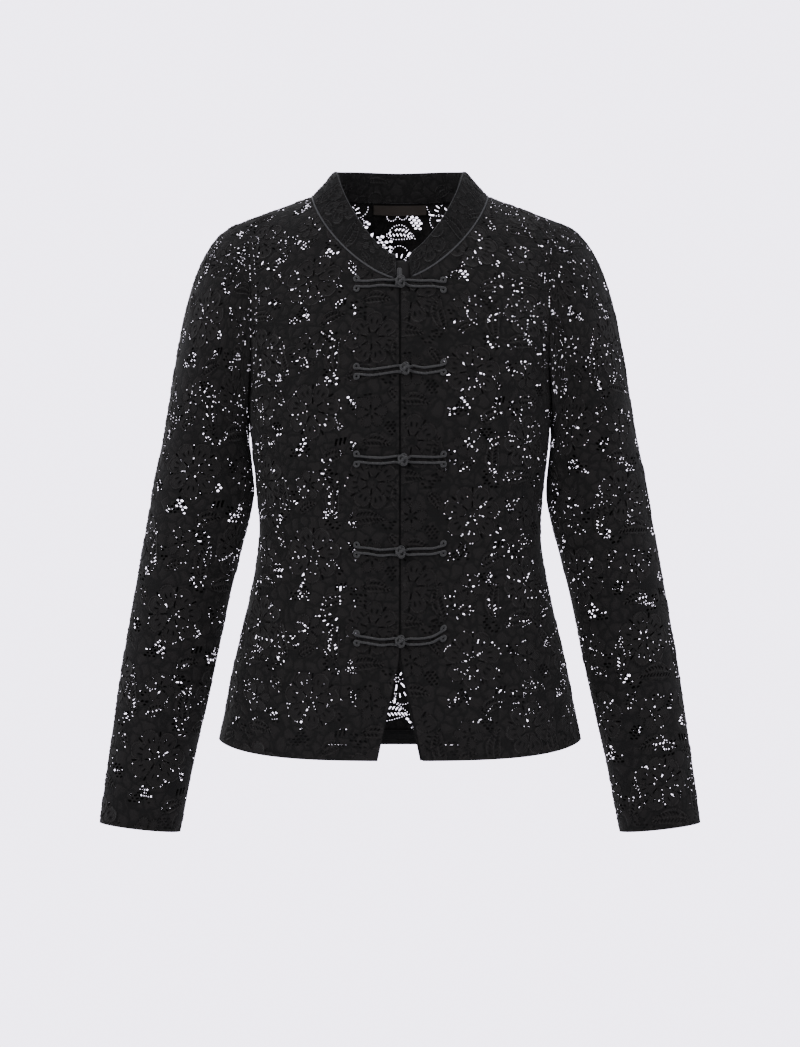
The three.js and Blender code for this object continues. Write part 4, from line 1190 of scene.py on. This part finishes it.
band("collar_lining", 200, 20, collar_lining, (SEAM_LENGTH, 60), lining_black)
bm = bmesh.new()
rim = np.linspace(1.0, SEAM_LENGTH - 1.0, 130)
neck_cord, _ = collar_spot(rim, 0 * rim, 0.5)
add_cord(bm, neck_cord, NECK_CORD, 420, 6)
corner_start = SEAM_LENGTH - CORNER_LEFT
round_corner = corner_start + 8.6 * np.sin(np.linspace(0.2, QUARTER, 8))
top_way = np.concatenate([[0.4, 0.4], np.linspace(2, corner_start, 110), round_corner])
top_share = np.concatenate([[0.05, 0.6], np.ones(len(top_way) - 2)])
top_cord, _ = collar_spot(top_way, top_share, -0.7)
add_cord(bm, top_cord, TOP_CORD, 420, 6)
finished("collar_cords", from_bmesh(bm, "collar_cords"), edge_satin)

# The tab behind the collar's gap: where its middle is, its size, and how far behind the seam.
TAB_X, TAB_SIZE, TAB_BEHIND = 2.5, (17, 1.2, 26), 3.4
bm = bmesh.new()
bmesh.ops.create_cube(bm, size=1)
bmesh.ops.subdivide_edges(bm, edges=bm.edges[:], cuts=4, use_grid_fill=True)
lean = unit(LEANS[0] * [0, 1, 1])
out = np.array([0, -lean[2], lean[1]])
centre = SEAM[0] * [0, 1, 1] + [TAB_X, 0, 0] + lean * TAB_SIZE[2] / 2 - out * TAB_BEHIND
for vert in bm.verts:
    x, y, z = np.array(vert.co) * TAB_SIZE
    vert.co = Vector((centre + [x, 0, 0] - out * y + lean * z) * MM)
finished("collar_tab", from_bmesh(bm, "collar_tab"), cloth_black, ["collar_underlap"])

# %% [markdown]
# A bare strip of brown-black satin is sewn inside the back of the neck. It carries no words.

# %% Label
LABEL_HALF, LABEL_HIGH, LABEL_DOWN, LABEL_LIFT = 28.5, 12, 1.5, 2.2


def label(u, v):
    x = mix(-LABEL_HALF, LABEL_HALF, u)
    neck_a, neck_v = neckline(np.arcsin(np.abs(x) / NECK_HALF) / QUARTER, BACK)
    top = np.interp(neck_v, back_cloth.levels, back_cloth.heights) - LABEL_DOWN
    level = np.interp(top - LABEL_HIGH * (1 - v), back_cloth.heights, back_cloth.levels)
    a = np.arcsin(np.clip(np.abs(x) / torso_half(level), 0, 1))
    return off_torso(a, level, BACK, -LABEL_LIFT, mirror(x))


band("neck_ribbon", 24, 6, label, (2 * LABEL_HALF, LABEL_HIGH), label_satin, ["neck_label"])

# %% [markdown]
# Five corded closures hold the fronts. On each side a doubled satin cord runs out from the middle
# and ends in two small curls; on the wearer's right it is a loop, and on the left it carries a
# ball knot that is woven from the same cord.

# %% Closures
FROGS = table(
    "z knot right left sag",
    (-76.6, 0.5, -0.6, -2, 0),
    (-164.1, 5, -2.4, 2, -2),
    (-254.9, 3, 0.3, 0.3, -1),
    (-348.8, 0.5, 2.2, 3.6, -0.5),
    (-439.8, 0.2, 3.5, 8.2, -1),
)
CORD_RADIUS, CORD_CLEAR, CORD_SPREAD, FROG_REACH = 1.15, 0.8, 2.9, 46
KNOT_RADII, KNOT_LIFT, KNOT_CORD, KNOT_CORE = np.array([4.6, 3.4, 5.8]), 7.0, 1.0, 2.2
CURL, RIPPLE = 2.2, 0.7
LOOP_TURN = [(3.5, 3.4, 0), (-1.5, 3.2, 0), (-3.4, 0, 0), (-1.5, -3.2, 0), (3.5, -3.4, 0)]
KNOT_TURN = [(6.6, 2.4, 2.2), (4, 1.2, 5), (2.6, 0, 6), (4, -1.2, 5), (6.6, -2.4, 2.2)]


def on_front(x, z, lift):
    """Points lifted off the fronts at x, z as seen from the front."""
    x, z, lift = np.broadcast_arrays(*(np.asarray(value, float) for value in (x, z, lift)))
    a, v = torso_place(np.maximum(np.abs(x), 0.9), z, FRONT)
    place = off_torso(a, v, FRONT, lift[..., None], mirror(x))
    place[..., 0] = x
    return place


def frog_path(frog, side, inner):
    """One side of a closure: curl, upper cord, turn round the knot, lower cord, curl."""
    end = FROGS["right" if side == RIGHT else "left"][frog]
    z, knot, sag = (FROGS[key][frog] for key in ("z", "knot", "sag"))
    outer, start = side * (FROG_REACH - 2), knot + side * 9

    def drift(x):
        share = (x - start) / (outer - start)
        ripple = RIPPLE * math.sin(2 * math.pi * share + frog) * (1 if side == RIGHT else -1)
        return end * share**2 + (sag + ripple) * math.sin(math.pi * min(share, 1))

    spin = np.radians([-400, -350, -300, -250, -200, -150, -110])
    curl = [(outer + side * -CURL * math.cos(s), CORD_SPREAD + CURL * (1 + math.sin(s)), 0.15 * k)
            for k, s in enumerate(spin)]
    upper = [(x, z + drift(x) + up, lift) for x, up, lift in curl]
    stations = [mix(start, outer, share) for share in (0.9, 0.66, 0.33, 0)]
    upper += [(x, z + drift(x) + CORD_SPREAD, 0) for x in stations]
    turn = [(knot + side * dx, z + dz, up) for dx, dz, up in inner]
    lower = [(x, 2 * (z + drift(x)) - height, lift) for x, height, lift in reversed(upper)]
    path = np.array(upper + turn + lower)
    return on_front(path[:, 0], path[:, 1], CORD_RADIUS + CORD_CLEAR + path[:, 2])


def add_knot(bm, centre):
    """A ball woven from one cord: a closed path that winds three times round and dips four times."""
    t = np.linspace(0, 2 * math.pi, 97)
    latitude = 1.12 * np.sin(4 * t)
    level = np.cos(latitude)
    over = 1 + 0.1 * np.sin(12 * t)
    ball = np.stack([np.sin(latitude), level * np.sin(3 * t), level * np.cos(3 * t)], -1)
    add_cord(bm, centre + ball * over[:, None] * (KNOT_RADII - 0.2), KNOT_CORD, 260, 7, closed=True)
    core = bmesh.ops.create_icosphere(bm, subdivisions=2, radius=1)["verts"]
    for vert in core:
        vert.co = Vector((np.array(vert.co) * (KNOT_RADII - KNOT_CORE) + centre) * MM)


# A small drop-shaped tongue of satin that stands up behind the top knot.
TONGUE, TONGUE_RADIUS = [(-1, 3.2, 3), (-1, 3.2, 7), (-1, 3, 11), (-0.8, 2.8, 14)], 2.5

for frog in range(len(FROGS["z"])):
    for half, side, inner in (("loop", RIGHT, LOOP_TURN), ("knot", LEFT, KNOT_TURN)):
        bm = bmesh.new()
        add_cord(bm, frog_path(frog, side, inner), CORD_RADIUS, 240)
        middle = on_front(FROGS["knot"][frog], FROGS["z"][frog], KNOT_LIFT)
        if half == "knot":
            add_knot(bm, middle)
        if half == "knot" and frog == 0:
            add_cord(bm, middle + np.array(TONGUE), TONGUE_RADIUS, 40)
        key = f"{frog + 1}_{half}"
        finished(f"closure_{key}", from_bmesh(bm, half), cord_satin, [f"frog_{key}"])

# %% [markdown]
# Plain pale surroundings: a round floor well under the hem, a light world that shows brighter to
# the camera than it lights the cloth, and soft lamps on both sides.

# %% Surroundings
FLOOR_Z, FLOOR_RADIUS, FLOOR_GLOW = -1.42, 1.1, 3.0
# Colour and strength of the world, as it lights the shirt and as the camera sees it.
WORLD_LIT, WORLD_SHOWN = ((0.93, 0.93, 1.0, 1), 0.75), ((1.0, 0.94, 1.12, 1), 4.3)
floor_mesh = bmesh.new()
bmesh.ops.create_circle(floor_mesh, cap_ends=True, segments=96, radius=FLOOR_RADIUS)
bmesh.ops.translate(floor_mesh, vec=(0, 0, FLOOR_Z), verts=floor_mesh.verts)
floor_finish = Finish("floor", {"Roughness": 0.9, "Emission Strength": FLOOR_GLOW})
grain = floor_finish.add("ShaderNodeTexCoord", {}, {}, "Object")
speck = floor_finish.add("ShaderNodeTexNoise", {}, {"Vector": grain, "Scale": 60.0}, "Fac")
floor_tone = floor_finish.blend(speck * 0.1, (0.80, 0.79, 0.82, 1), (0.74, 0.73, 0.76, 1))
floor_finish.feed("Base Color", floor_tone)
seen_by_camera = floor_finish.add("ShaderNodeLightPath", {}, {}, "Is Camera Ray")
floor_finish.feed("Emission Color", floor_finish.blend(seen_by_camera, (0, 0, 0, 1), (1.0, 0.95, 1.1, 1)))
floor_data = from_bmesh(floor_mesh, "floor")
floor_data.materials.append(floor_finish.material)
placed("floor", floor_data)


def lamp(name, place, target, size, power):
    light = bpy.data.lights.new(name, "AREA")
    light.size = size
    light.energy = power
    obj = placed(name, light)
    obj.location = place
    obj.rotation_euler = (Vector(target) - Vector(place)).to_track_quat("-Z", "Y").to_euler()


lamp("key", (-1.5, -2.2, 1.1), (0, 0, -0.3), 1.2, 46)
lamp("fill", (1.7, -2.0, 0.4), (0, 0, -0.3), 1.6, 20)
lamp("rear", (-0.9, 2.3, 0.7), (0, 0, -0.3), 1.4, 20)
world = bpy.data.worlds.new("studio")
world.use_nodes = True
tree = world.node_tree
lit, shown = tree.nodes["Background"], tree.nodes.new("ShaderNodeBackground")
for node, (colour, strength) in ((lit, WORLD_LIT), (shown, WORLD_SHOWN)):
    node.inputs["Color"].default_value = colour
    node.inputs["Strength"].default_value = strength
rays = tree.nodes.new("ShaderNodeLightPath")
either = tree.nodes.new("ShaderNodeMixShader")
for k, socket in enumerate((rays.outputs["Is Camera Ray"], lit.outputs[0], shown.outputs[0])):
    tree.links.new(socket, either.inputs[k])
tree.links.new(either.outputs[0], tree.nodes["World Output"].inputs["Surface"])
bpy.context.scene.world = world
